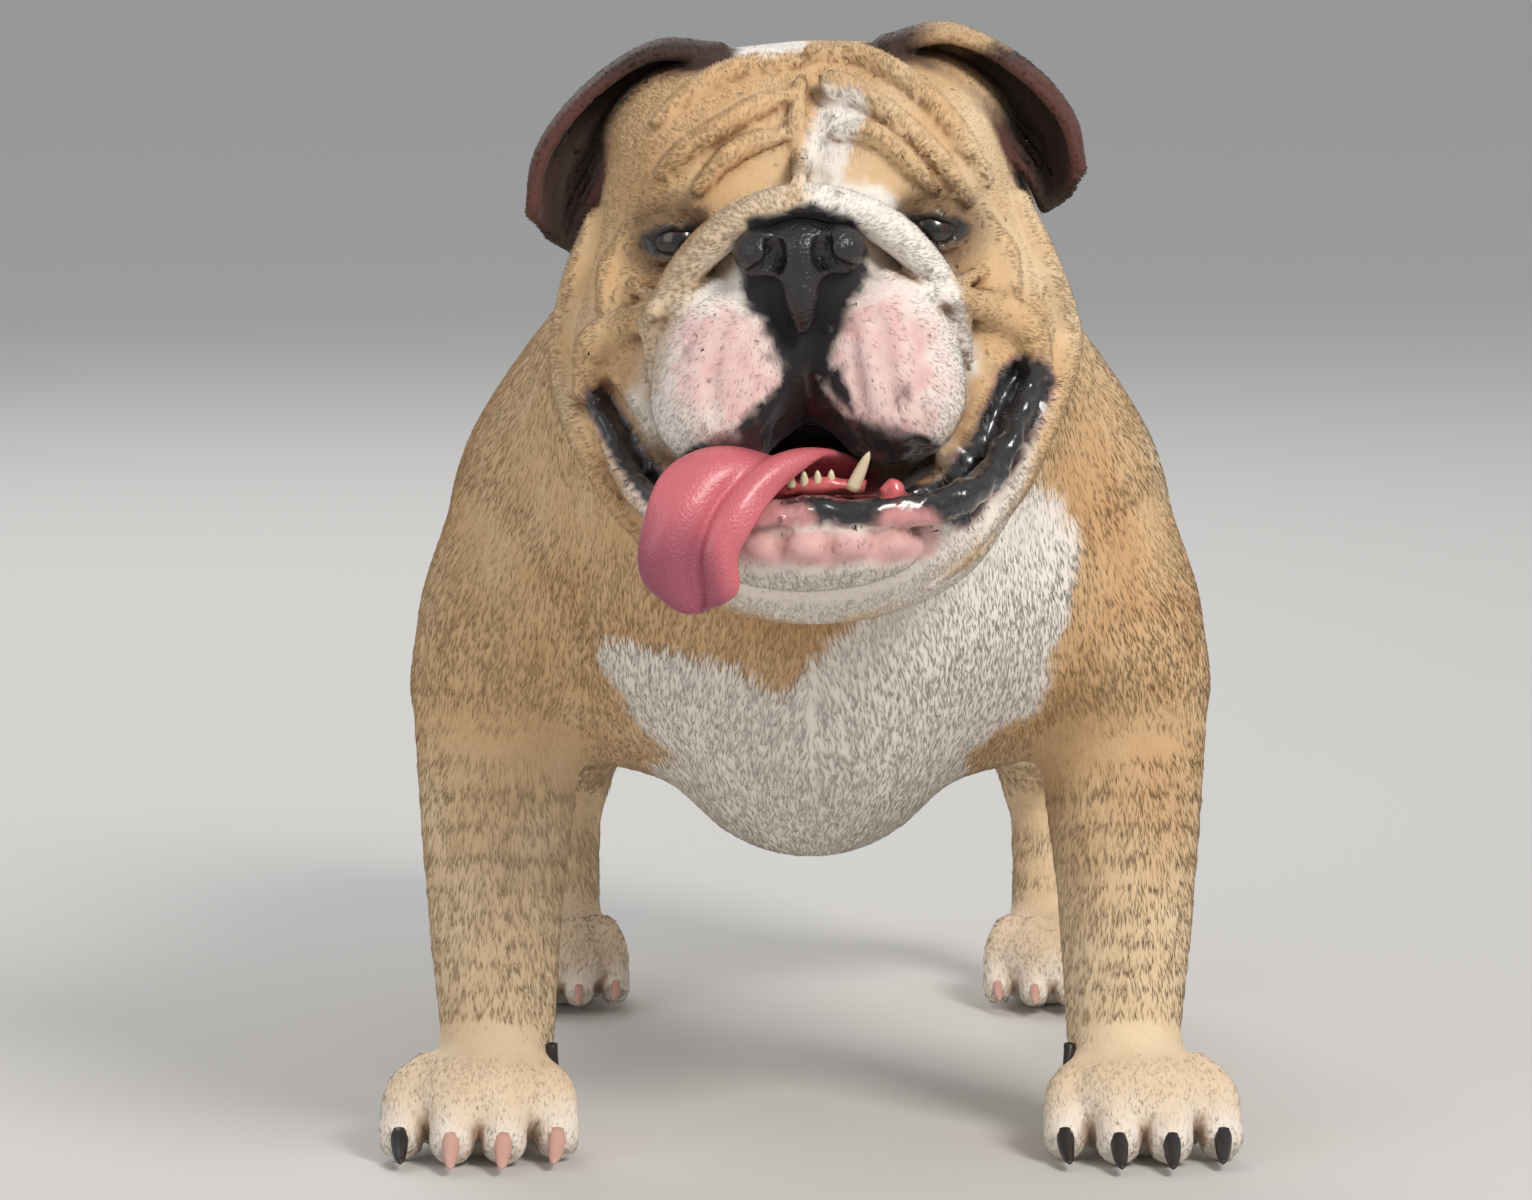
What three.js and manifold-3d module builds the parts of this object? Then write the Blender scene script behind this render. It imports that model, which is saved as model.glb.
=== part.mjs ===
// English bulldog standing square with its mouth open and its tongue out, life size, in millimetres.
// +Z is up, the dog faces -Y and its left side is +X. The origin is on the floor under the middle of the dog.
import * as THREE from 'three';
import { mergeVertices } from 'three/addons/utils/BufferGeometryUtils.js';
import Module from 'manifold-3d';

const wasm = await Module();
wasm.setup();

// Driving dimensions of the whole dog.
const SHOULDER_X = 79; // shoulder blade to midline
const FORELEG_X = 132; // forearm to midline
const HINDLEG_X = 111; // hock to midline
const SOLE_Z = 0; // the floor
const GAP = 0.3; // free space kept between two touching nodes

// The head has a frame of its own: x to its left, -y out of the face, z up.
const HEAD_CENTRE = [0, -225, 346];
const HEAD_PITCH = -4.7; // degrees, the face looks a little up
const HEAD_ROLL = -2.5; // degrees, its left ear is the higher one
const HEAD_YAW = -3; // degrees, the nose points a little to its right
const EYE_X = 49;
const EYE_Z = 37;
const EYE_RADIUS = 11;

// Where the whole group is moved so that the origin is under the middle of the bounding box.
const CENTRE_SHIFT = [0, 8.4, 0];

const degrees = THREE.MathUtils.degToRad;
const headMatrix = new THREE.Matrix4()
  .makeRotationFromEuler(new THREE.Euler(degrees(HEAD_PITCH), degrees(HEAD_ROLL), degrees(HEAD_YAW)))
  .setPosition(...HEAD_CENTRE);
const worldToHead = headMatrix.clone().invert();

// Softly joins two distances: the smaller one, rounded off over a width.
function blend(a, b, width) {
  const overlap = Math.max(width - Math.abs(a - b), 0) / width;
  return Math.min(a, b) - (overlap * overlap * width) / 4;
}

// Flesh is an ordered list of rounded masses. Each one is melted into, or carved out of, those before it.
class Flesh {
  constructor() {
    this.masses = [];
  }

  // An ellipsoid with half axes radii, turned by Euler angles in degrees.
  ball(centre, radii, { turn = [0, 0, 0], melt = 15, carve = false, pair = false } = {}) {
    const frame = new THREE.Matrix4()
      .makeRotationFromEuler(new THREE.Euler(...turn.map(degrees)))
      .setPosition(...centre)
      .invert().elements;
    const [rx, ry, rz] = radii;
    const distance = (x, y, z) => {
      const u = frame[0] * x + frame[4] * y + frame[8] * z + frame[12];
      const v = frame[1] * x + frame[5] * y + frame[9] * z + frame[13];
      const w = frame[2] * x + frame[6] * y + frame[10] * z + frame[14];
      const near = Math.hypot(u / rx, v / ry, w / rz);
      const steep = Math.hypot(u / (rx * rx), v / (ry * ry), w / (rz * rz));
      return steep < 1e-9 ? -Math.min(rx, ry, rz) : (near * (near - 1)) / steep;
    };
    this.masses.push({ distance, centre, reach: Math.max(...radii), melt, carve });
    if (pair) this.ball([-centre[0], centre[1], centre[2]], radii, { turn: [turn[0], -turn[1], -turn[2]], melt, carve });
    return this;
  }

  // A round roll along a smooth curve through the points, with radii spread evenly along it.
  roll(points, radii, { melt = 8, carve = false, pair = false, steps = 6 } = {}) {
    const curve = new THREE.CatmullRomCurve3(points.map((p) => new THREE.Vector3(...p)), false, 'catmullrom', 0.5);
    const count = (points.length - 1) * steps;
    const line = curve.getPoints(count).map((p, i) => {
      const along = (i / count) * (radii.length - 1);
      const k = Math.min(Math.floor(along), radii.length - 2);
      return [p.x, p.y, p.z, radii.length < 2 ? radii[0] : THREE.MathUtils.lerp(radii[k], radii[k + 1], along - k)];
    });
    const distance = (x, y, z) => {
      let best = Infinity;
      for (let i = 1; i < line.length; i++) {
        const [ax, ay, az, ar] = line[i - 1];
        const [bx, by, bz, br] = line[i];
        const [dx, dy, dz] = [bx - ax, by - ay, bz - az];
        const t = Math.min(Math.max(((x - ax) * dx + (y - ay) * dy + (z - az) * dz) / (dx * dx + dy * dy + dz * dz), 0), 1);
        best = Math.min(best, Math.hypot(x - ax - t * dx, y - ay - t * dy, z - az - t * dz) - ar - t * (br - ar));
      }
      return best;
    };
    const middle = line.reduce((sum, p) => sum.map((s, k) => s + p[k] / line.length), [0, 0, 0]);
    const reach = Math.max(...line.map((p) => Math.hypot(p[0] - middle[0], p[1] - middle[1], p[2] - middle[2]) + p[3]));
    this.masses.push({ distance, centre: middle, reach, melt, carve });
    if (pair) this.roll(points.map(([x, y, z]) => [-x, y, z]), radii, { melt, carve, steps });
    return this;
  }

  // Signed distance to the skin: negative inside the flesh.
  at(x, y, z) {
    let d = 1000;
    for (const m of this.masses) {
      const far = Math.hypot(x - m.centre[0], y - m.centre[1], z - m.centre[2]) - m.reach;
      if (m.carve) {
        if (far < m.melt - d) d = -blend(-d, m.distance(x, y, z), m.melt);
      } else if (far < d + m.melt) {
        d = blend(d, m.distance(x, y, z), m.melt);
      }
    }
    return d;
  }

  // The y of the skin that shows from the front at (x, z).
  front(x, z, from = -170, to = 120) {
    let y = from;
    for (let i = 0; i < 200 && y < to; i++) {
      const d = this.at(x, y, z);
      if (d < 0.05) break;
      y += Math.max(d * 0.7, 0.3);
    }
    return y;
  }

  // A fold of skin drawn on the face through (x, z) points: it follows the skin, raised by lift.
  fold(points, radii, { lift = 0, ...options } = {}) {
    const sides = options.pair ? [1, -1] : [1];
    const laid = sides.map((side) => points.map(([x, z]) => [side * x, this.front(side * x, z) - lift, z]));
    for (const line of laid) this.roll(line, radii, { ...options, pair: false });
    return this;
  }
}

// Torso, neck, legs and tail.
const body = new Flesh();

function torso() {
  body
    .ball([0, 20, 240], [120, 160, 110], { melt: 1 }) // rib cage
    .ball([0, 105, 228], [94, 125, 70], { melt: 40 }) // belly
    .ball([0, -85, 192], [70, 92, 78], { melt: 26 }) // brisket
    .ball([0, -126, 240], [98, 80, 82], { melt: 30 }) // forechest
    .ball([0, 5, 300], [86, 90, 80], { melt: 40 }) // withers
    .ball([0, 105, 268], [96, 125, 98], { melt: 40 }) // back
    .ball([0, 170, 288], [80, 85, 84], { melt: 40 }) // loin, the highest part of the roach back
    .ball([0, 216, 264], [78, 68, 78], { melt: 35 }) // rump
    .ball([SHOULDER_X, -62, 232], [74, 88, 104], { melt: 30, pair: true }) // shoulder
    .ball([0, -80, 322], [104, 108, 74], { melt: 40 }) // base of the neck
    .ball([0, -150, 325], [94, 78, 88], { melt: 40 }); // neck behind the head
}

function forelegs() {
  body
    .ball([FORELEG_X - 9, -86, 206], [42, 52, 54], { turn: [8, 0, 0], melt: 18, pair: true }) // upper arm
    .roll(
      [[FORELEG_X - 3, -88, 184], [FORELEG_X - 1, -106, 108], [FORELEG_X - 2, -116, 48]],
      [38, 30, 25],
      { melt: 10, pair: true },
    )
    .ball([FORELEG_X + 3, -140, 20], [37, 36, 24], { melt: 14, pair: true }); // paw
}

function hindlegs() {
  body
    .ball([80, 200, 208], [46, 62, 86], { turn: [-12, 0, 0], melt: 30, pair: true }) // thigh
    .ball([94, 166, 168], [30, 34, 40], { melt: 22, pair: true }) // stifle
    .roll([[96, 188, 165], [105, 230, 125], [HINDLEG_X - 1, 256, 100]], [34, 25, 19], { melt: 18, pair: true })
    .roll([[HINDLEG_X, 256, 102], [HINDLEG_X, 247, 60], [HINDLEG_X, 236, 28]], [18, 16, 17], { melt: 10, pair: true })
    .ball([HINDLEG_X, 214, 19], [29, 38, 21], { melt: 12, pair: true }); // paw
}

function tail() {
  body.roll([[0, 266, 306], [4, 290, 306], [3, 310, 290], [-4, 316, 270]], [24, 18, 13, 7], { melt: 12 });
}

// Toes fan out from a paw: two knuckles each, with the outer two set back.
function toes(pawX, pawY, width, length) {
  for (const side of [1, -1]) {
    for (const step of [-1.5, -0.5, 0.5, 1.5]) {
      const back = Math.abs(step) > 1 ? length * 0.42 : 0;
      const root = [side * pawX + step * width * 0.7, pawY + length * 0.9 + back * 0.5, 27];
      const knuckle = [side * pawX + step * width, pawY + back + length * 0.2, 21];
      const tip = [side * pawX + step * width * 1.08, pawY + back - length * 0.42, 10];
      body.roll([root, knuckle, tip], [12, width * 0.6, width * 0.54], { melt: 4 });
    }
  }
}

torso();
forelegs();
hindlegs();
tail();
toes(FORELEG_X + 4, -164, 19.5, 26);
toes(HINDLEG_X + 1, 190, 15, 24);

// Head and lower jaw, in the frame of the head.
const head = new Flesh();

function skull() {
  head
    .ball([0, 32, 50], [80, 74, 67], { melt: 1 }) // cranium
    .ball([46, 22, 72], [38, 44, 36], { melt: 24, pair: true }) // temple, under the ear
    .ball([60, 16, 0], [38, 52, 54], { melt: 30, pair: true }) // cheek
    .ball([36, -12, 58], [34, 32, 30], { melt: 20, pair: true }) // brow
    .ball([0, -28, 4], [58, 42, 42], { melt: 20 }) // muzzle
    .ball([0, -42, 36], [44, 34, 22], { melt: 12 }) // bridge behind the nose
    .ball([0, -16, -72], [74, 58, 45], { melt: 25 }) // lower jaw
    .ball([66, 4, -38], [27, 44, 38], { melt: 18, pair: true }); // jowl
}

function mouth() {
  head
    .ball([0, -66, -50], [50, 52, 15], { melt: 5, carve: true })
    .roll([[40, -74, -52], [66, -52, -46], [83, -26, -20]], [10, 8, 4], { melt: 4, carve: true, pair: true });
}

function muzzle() {
  head
    .ball([30, -54, -10], [30, 31, 37], { melt: 10, pair: true }) // flew
    .ball([34, -60, -27], [28, 26, 27], { melt: 10, pair: true }) // hanging edge of the flew
    .roll([[0, -88, 10], [0, -92, -20], [0, -88, -48]], [2, 5, 15], { melt: 5, carve: true }) // cleft
    .ball([0, -62, 22], [27, 20, 20], { melt: 8 }) // bed of the nose
    .roll(
      [[-62, -38, -16], [-55, -56, 10], [-33, -70, 36], [0, -76, 49], [33, -70, 38], [55, -56, 12], [62, -38, -14]],
      [5, 8, 8.5, 8, 8.5, 8, 5],
      { melt: 5 },
    ); // rope of skin over the nose
}

function lowerLip() {
  head
    .ball([0, -68, -84], [44, 24, 18], { melt: 8 }) // chin
    .roll(
      [[0, -88, -71], [30, -84, -71], [54, -70, -68], [71, -48, -56], [84, -24, -27]],
      [8, 8, 8, 7, 5],
      { melt: 5, pair: true },
    );
}

function folds() {
  head
    .fold([[88, 44], [95, 18], [96, -12], [86, -45], [66, -80], [38, -102]], [6, 9, 9, 8, 7, 6], { melt: 9, lift: -2, pair: true })
    .fold([[66, -2], [78, 2], [87, -8], [87, -20]], [8, 10, 10, 7], { melt: 7, pair: true })
    .fold([[8, 103], [28, 101], [48, 92], [66, 74]], [8, 8, 8, 7], { melt: 8, lift: -3, pair: true })
    .fold([[8, 78], [30, 78], [50, 68], [66, 48]], [8, 9, 8, 7], { melt: 8, lift: -2, pair: true });
}

skull();
mouth();
muzzle();
lowerLip();
folds();
head.ball([EYE_X, head.front(EYE_X, EYE_Z) - 1, EYE_Z - 1], [17, 8, 10], { melt: 6, carve: true, pair: true });
const EYE_Y = head.front(EYE_X, EYE_Z) + 6; // the ball stands a little out of its socket

// The whole dog: the head melts into the neck.
const HEAD_MELT = 10;
function dog(x, y, z) {
  const e = worldToHead.elements;
  const d = body.at(x, y, z);
  const u = e[0] * x + e[4] * y + e[8] * z + e[12];
  const v = e[1] * x + e[5] * y + e[9] * z + e[13];
  const w = e[2] * x + e[6] * y + e[10] * z + e[14];
  return blend(d, head.at(u, v, w), HEAD_MELT);
}

// Wraps the skin of a field inside a box with a net of triangles of about one cell, which has three sizes.
// Each cell that the skin crosses gets one point per sheet of skin, which is then moved onto the skin.
function net(field, low, high, cell) {
  const counts = low.map((l, k) => Math.ceil((high[k] - l) / cell[k]) + 1);
  const [nx, ny, nz] = counts;
  const place = (i, j, k) => [low[0] + i * cell[0], low[1] + j * cell[1], low[2] + k * cell[2]];
  const inBox = (p) => Math.max(...p.map((c, k) => Math.max(low[k] + 1.2 * cell[k] - c, c - (high[k] - 1.2 * cell[k]))));
  const bounded = (p) => Math.max(field(...p), inBox(p));
  const value = new Float32Array(nx * ny * nz);
  const at = (i, j, k) => i + nx * (j + ny * k);
  for (let k = 0; k < nz; k++) for (let j = 0; j < ny; j++) for (let i = 0; i < nx; i++) value[at(i, j, k)] = bounded(place(i, j, k)) || 1e-6;
  fillSaddles(value, counts);

  const corners = [...Array(8).keys()].map((c) => [c & 1, (c >> 1) & 1, (c >> 2) & 1]);
  const edges = [];
  for (let a = 0; a < 8; a++) for (const bit of [1, 2, 4]) if (!(a & bit)) edges.push([a, a | bit]);
  const points = [];
  const cells = new Map();
  for (let k = 0; k + 1 < nz; k++)
    for (let j = 0; j + 1 < ny; j++)
      for (let i = 0; i + 1 < nx; i++) {
        const v = corners.map(([a, b, c]) => value[at(i + a, j + b, k + c)]);
        const inside = v.map((d) => d < 0);
        if (inside.every(Boolean) || !inside.some(Boolean)) continue;
        const label = [...Array(8).keys()];
        const join = (a, b) => {
          const [from, to] = [Math.max(label[a], label[b]), Math.min(label[a], label[b])];
          for (let c = 0; c < 8; c++) if (label[c] === from) label[c] = to;
        };
        for (const [a, b] of edges) if (inside[a] === inside[b]) join(a, b);
        const sheets = new Map();
        for (const [a, b] of edges) {
          if (inside[a] === inside[b]) continue;
          const key = inside[a] ? label[a] * 8 + label[b] : label[b] * 8 + label[a];
          const t = v[a] / (v[a] - v[b]);
          const p = corners[a].map((c, n) => c + t * (corners[b][n] - c));
          if (!sheets.has(key)) sheets.set(key, { sum: [0, 0, 0], count: 0 });
          const s = sheets.get(key);
          p.forEach((c, n) => (s.sum[n] += c));
          s.count++;
        }
        for (const s of sheets.values()) {
          const p = s.sum.map((c, n) => low[n] + ([i, j, k][n] + c / s.count) * cell[n]);
          s.index = points.length / 3;
          points.push(...ontoSkin(bounded, p, Math.min(...cell)));
        }
        cells.set(at(i, j, k), { label, sheets });
      }

  // The point of the cell at (i, j, k) for the edge between its corners a (inside) and b (outside).
  const pointOf = (i, j, k, a, b) => {
    const c = cells.get(at(i, j, k));
    return c.sheets.get(c.label[a] * 8 + c.label[b]).index;
  };
  const triangles = [];
  const around = [[0, 0], [-1, 0], [-1, -1], [0, -1]];
  for (let k = 1; k + 1 < nz; k++)
    for (let j = 1; j + 1 < ny; j++)
      for (let i = 1; i + 1 < nx; i++)
        for (let axis = 0; axis < 3; axis++) {
          const step = [0, 0, 0];
          step[axis] = 1;
          const here = value[at(i, j, k)] < 0;
          if (here === value[at(i + step[0], j + step[1], k + step[2])] < 0) continue;
          const [p, q] = [(axis + 1) % 3, (axis + 2) % 3];
          const ring = around.map(([dp, dq]) => {
            const c = [i, j, k];
            c[p] += dp;
            c[q] += dq;
            const near = (dp < 0 ? 1 << p : 0) | (dq < 0 ? 1 << q : 0);
            const far = near | (1 << axis);
            return here ? pointOf(...c, near, far) : pointOf(...c, far, near);
          });
          if (!here) ring.reverse();
          const [a, b, c, d] = ring;
          const gap = (m, n) => Math.hypot(points[3 * m] - points[3 * n], points[3 * m + 1] - points[3 * n + 1], points[3 * m + 2] - points[3 * n + 2]);
          if (gap(a, c) < gap(b, d)) triangles.push(a, b, c, a, c, d);
          else triangles.push(a, b, d, b, c, d);
        }
  return new THREE.BufferGeometry()
    .setAttribute('position', new THREE.BufferAttribute(new Float32Array(points), 3))
    .setIndex(triangles);
}

// Where the corners of a square of the grid are in and out by turns, one more is taken in, so that no edge of the net
// is shared by more than two faces.
function fillSaddles(value, [nx, ny, nz]) {
  const steps = [1, nx, nx * ny];
  for (let filled = true; filled;) {
    filled = false;
    for (let n = 0; n < nx * ny * nz; n++) {
      for (const [p, q] of [[0, 1], [1, 2], [2, 0]]) {
        const ring = [n, n + steps[p], n + steps[p] + steps[q], n + steps[q]];
        if (ring[2] >= value.length) continue;
        const inside = ring.map((m) => value[m] < 0);
        if (inside[0] !== inside[2] || inside[1] !== inside[3] || inside[0] === inside[1]) continue;
        const [a, b] = ring.filter((m, i) => !inside[i]);
        value[value[a] < value[b] ? a : b] = -1e-3;
        filled = true;
      }
    }
  }
}

// Moves a point along the slope of the field onto the skin, no further than half a cell.
function ontoSkin(field, start, cell) {
  let p = start;
  for (let round = 0; round < 3; round++) {
    const d = field(p);
    const h = 0.4;
    const slope = [0, 1, 2].map((k) => {
      const q = [...p];
      q[k] += h;
      return (field(q) - d) / h;
    });
    const steep = slope.reduce((s, c) => s + c * c, 0);
    if (steep < 0.05) break;
    const moved = p.map((c, k) => c - (d * slope[k]) / steep);
    if (Math.hypot(...moved.map((c, k) => c - start[k])) > 0.5 * cell) break;
    p = moved;
  }
  return p;
}

// Geometry to solid and back.
function solid(geometry) {
  const bare = geometry.clone();
  bare.deleteAttribute('normal');
  bare.deleteAttribute('uv');
  const merged = mergeVertices(bare, 1e-3);
  return new wasm.Manifold(
    new wasm.Mesh({ numProp: 3, vertProperties: merged.attributes.position.array, triVerts: new Uint32Array(merged.index.array) }),
  );
}

// The largest closed surface of a solid.
function largestOf(manifold) {
  return manifold.decompose().reduce((a, b) => (a.volume() > b.volume() ? a : b));
}

function meshOf(manifold) {
  const mesh = manifold.getMesh();
  const positions = new Float32Array(mesh.numVert * 3);
  for (let i = 0; i < mesh.numVert; i++) positions.set(mesh.vertProperties.subarray(i * mesh.numProp, i * mesh.numProp + 3), i * 3);
  return new THREE.BufferGeometry().setAttribute('position', new THREE.BufferAttribute(positions, 3)).setIndex([...mesh.triVerts]);
}

// The geometry of a node, with corners closer than a hair merged, so that no sliver is left at a cut.
const HAIR = 0.02;
function geometryOf(manifold) {
  const merged = mergeVertices(meshOf(largestOf(manifold)), HAIR);
  const index = merged.index.array;
  const kept = [];
  for (let i = 0; i < index.length; i += 3) {
    const [a, b, c] = index.slice(i, i + 3);
    if (a !== b && b !== c && c !== a) kept.push(a, b, c);
  }
  return meshOf(largestOf(solid(merged.setIndex(kept))));
}

const dogGroup = new THREE.Group();
function add(name, manifold, colour, roughness) {
  const mesh = new THREE.Mesh(geometryOf(manifold), new THREE.MeshStandardMaterial({ color: colour, roughness, metalness: 0 }));
  mesh.name = name;
  dogGroup.add(mesh);
  return mesh;
}

// A thick sheet through rails: each rail runs from the root of the sheet to its tip.
function sheet(rails, thickness, along, across) {
  const curves = rails.map((rail) => new THREE.CatmullRomCurve3(rail.map((p) => new THREE.Vector3(...p))));
  const rows = [];
  for (let i = 0; i <= along; i++) {
    rows.push(new THREE.CatmullRomCurve3(curves.map((c) => c.getPoint(i / along))).getPoints(across));
  }
  const clampTo = (v, most) => Math.min(Math.max(v, 0), most);
  const positions = [];
  for (const side of [0.5, -0.5]) {
    for (let i = 0; i <= along; i++) {
      for (let j = 0; j <= across; j++) {
        const down = rows[clampTo(i + 1, along)][j].clone().sub(rows[clampTo(i - 1, along)][j]);
        const over = rows[i][clampTo(j + 1, across)].clone().sub(rows[i][clampTo(j - 1, across)]);
        const edge = j === 0 || j === across || i === along ? 0.55 : 1;
        const lift = down.cross(over).normalize().multiplyScalar(side * thickness * edge);
        positions.push(...rows[i][j].clone().add(lift));
      }
    }
  }
  const index = (side, i, j) => side * (along + 1) * (across + 1) + i * (across + 1) + j;
  const triangles = [];
  const quad = (a, b, c, d) => triangles.push(a, b, c, a, c, d);
  for (let i = 0; i < along; i++) {
    for (let j = 0; j < across; j++) {
      quad(index(0, i, j), index(0, i + 1, j), index(0, i + 1, j + 1), index(0, i, j + 1));
      quad(index(1, i, j), index(1, i, j + 1), index(1, i + 1, j + 1), index(1, i + 1, j));
    }
    quad(index(0, i, 0), index(1, i, 0), index(1, i + 1, 0), index(0, i + 1, 0));
    quad(index(0, i, across), index(0, i + 1, across), index(1, i + 1, across), index(1, i, across));
  }
  for (let j = 0; j < across; j++) {
    quad(index(0, 0, j), index(0, 0, j + 1), index(1, 0, j + 1), index(1, 0, j));
    quad(index(0, along, j), index(1, along, j), index(1, along, j + 1), index(0, along, j + 1));
  }
  return new THREE.BufferGeometry()
    .setAttribute('position', new THREE.BufferAttribute(new Float32Array(positions), 3))
    .setIndex(triangles);
}

// Blocks that share the dog out among its nodes: an outline in (y, z) or (x, z), drawn out along the third axis.
const ACROSS = new THREE.Matrix4().makeBasis(new THREE.Vector3(0, 1, 0), new THREE.Vector3(0, 0, 1), new THREE.Vector3(1, 0, 0));
const ENDWAYS = new THREE.Matrix4().makeBasis(new THREE.Vector3(1, 0, 0), new THREE.Vector3(0, 0, 1), new THREE.Vector3(0, -1, 0));
function block(outline, from, to, basis, frame = new THREE.Matrix4()) {
  const shape = new THREE.Shape(outline.map(([a, b]) => new THREE.Vector2(a, b)));
  const geometry = new THREE.ExtrudeGeometry(shape, { depth: to - from, bevelEnabled: false })
    .translate(0, 0, from)
    .applyMatrix4(frame.clone().multiply(basis));
  return solid(geometry);
}

// Each territory grows by the gap on the sides where a neighbour meets it.
const headBlock = (gap) => block([[95 + gap, 170], [-220, 170], [-220, -180], [-8 + gap, -180]], -200, 200, ACROSS, headMatrix);
const jawBlock = (gap) =>
  block(
    [[-220, -59], [-58, -59], [-14, -23], [8, -23], [120, -70], [120, -180], [-220, -180]].map(([y, z]) => [y, z + gap]),
    -200, 200, ACROSS, headMatrix,
  );
const neckBlock = (gap) => block([[35 + gap, 430], [-420, 430], [-420, 190], [-232 + gap, 190 - gap]], -200, 200, ACROSS);
const legBlock = (outline, side, from, to, gap) =>
  block(outline.map(([x, z]) => [side * (x - gap), z < 0 ? z : z + gap]), -to - gap, -from + gap, ENDWAYS);
const forelegBlock = (side, gap) =>
  legBlock([[68, -40], [68, 130], [84, 152], [176, 246], [240, 246], [240, -40]], side, -270, 40, gap);
const hindlegBlock = (side, gap) =>
  legBlock([[36, -40], [36, 112], [62, 150], [86, 240], [96, 300], [210, 300], [210, -40]], side, 122, 340, gap);
const tailBlock = (gap) => block([[-34 - gap, 258 - gap], [34 + gap, 258 - gap], [34 + gap, 350], [-34 - gap, 350]], -400, -278 + gap, ENDWAYS);
const above = (z) => solid(new THREE.BoxGeometry(1000, 1000, 800).translate(0, 0, z + 400));
const below = (z) => solid(new THREE.BoxGeometry(1000, 1000, 400).translate(0, 0, z - 200));

// The flesh inside a box, meshed at its own cell size.
const flesh = (low, high, cell) => solid(net(dog, low, high, cell));

const floor = above(SOLE_Z);
const PAW_TOP = 46;
const HEAD_CELL = [7.5, 11, 7.5];
const LEG_CELL = [13, 14, 14];
const PAW_CELL = [7.6, 11, 8.4];

// Head, lower jaw and neck.
const headNet = net(dog, [-125, -360, 190], [125, -80, 500], HEAD_CELL);
const headMass = solid(headNet);
const headSolid = headMass.intersect(headBlock(0));
const neckSolid = flesh([-130, -280, 180], [130, 60, 470], [17, 22, 20]).intersect(neckBlock(0)).subtract(headBlock(GAP));
let skullSolid = headSolid.subtract(jawBlock(GAP));
let jawSolid = headSolid.intersect(jawBlock(0));

const inHead = (geometry) => geometry.applyMatrix4(headMatrix);

// Eyes in sockets, each with a ring of lid.
function eyeball(side, radius) {
  return solid(inHead(new THREE.SphereGeometry(radius, 14, 10).translate(side * EYE_X, EYE_Y, EYE_Z)));
}
function lids(side) {
  const ring = [];
  for (let i = 0; i < 14; i++) {
    const t = (i / 14) * Math.PI * 2;
    const [across, up] = [12 * Math.cos(t), 7 * Math.sin(t)];
    const reach = EYE_RADIUS + 1;
    ring.push(new THREE.Vector3(side * EYE_X + across, EYE_Y - Math.sqrt(Math.max(reach * reach - across * across - up * up, 4)), EYE_Z + up));
  }
  const section = new THREE.Shape(new THREE.EllipseCurve(0, 0, 3, 3, 0, Math.PI * 2).getPoints(6).slice(0, 6));
  const geometry = new THREE.ExtrudeGeometry(section, {
    extrudePath: new THREE.CatmullRomCurve3(ring, true),
    steps: 20,
    bevelEnabled: false,
  });
  return solid(inHead(geometry));
}
for (const side of [1, -1]) {
  skullSolid = skullSolid.add(lids(side)).subtract(eyeball(side, EYE_RADIUS + GAP));
}

// Nose leather with comma-shaped nostrils.
const leather = new Flesh();
leather
  .ball([0, -74, 28], [20, 14, 16], { melt: 1 })
  .ball([12, -77, 25], [11, 12, 13], { melt: 5, pair: true })
  .ball([0, -79, 13], [8, 9, 11], { melt: 6 })
  .roll([[0, -92, 42], [0, -92, 28], [0, -91, 8]], [1.2, 1.6, 1.8], { melt: 2, carve: true })
  .roll([[8, -91, 27], [12, -91, 26], [18, -87, 21], [23, -80, 20]], [4, 4.6, 3, 1.5], { melt: 2, carve: true, pair: true });
const noseMass = solid(inHead(net((x, y, z) => leather.at(x, y, z), [-34, -106, -6], [34, -50, 56], [4.2, 6, 4.8])));

// Tongue out over the lower lip to the dog's right.
const tongueRails = [
  [[-26, -10, -62], [-30, -50, -50], [-47, -84, -45], [-59, -100, -58], [-66, -104, -78], [-64, -103, -98], [-52, -102, -107]],
  [[-14, -10, -64], [-18, -50, -52], [-32, -88, -46], [-46, -104, -62], [-55, -108, -82], [-54, -106, -101], [-47, -104, -109]],
  [[0, -10, -65], [-4, -50, -55], [-16, -87, -50], [-34, -101, -64], [-43, -105, -84], [-43, -104, -102], [-42, -102, -109]],
  [[14, -10, -64], [10, -50, -52], [-2, -84, -47], [-24, -102, -63], [-34, -107, -82], [-34, -106, -100], [-38, -104, -107]],
  [[26, -10, -62], [22, -50, -50], [10, -78, -48], [-14, -98, -66], [-26, -104, -84], [-28, -103, -98], [-34, -102, -103]],
];
const tongueMass = solid(inHead(sheet(tongueRails, 6, 11, 6)));

// Rose ears: a cup that opens forward, its rim rolled over at the top and its tip hanging out to the side.
const EAR_RAILS = [
  [[34, 0, 104], [54, -4, 94], [72, -4, 77], [86, 0, 60], [93, 6, 44]],
  [[33, 13, 106], [55, 18, 102], [80, 20, 87], [96, 17, 67], [100, 10, 49]],
  [[33, 16, 110], [56, 22, 112], [84, 22, 97], [101, 15, 75], [104, 6, 53]],
  [[33, 9, 112], [58, 8, 117], [87, 6, 102], [105, -2, 80], [108, -5, 58]],
  [[35, 1, 109], [60, -4, 113], [86, -8, 98], [103, -12, 78], [108, -13, 60]],
];
const RIGHT_EAR_DROOP = -8; // the dog's right ear hangs lower

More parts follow.
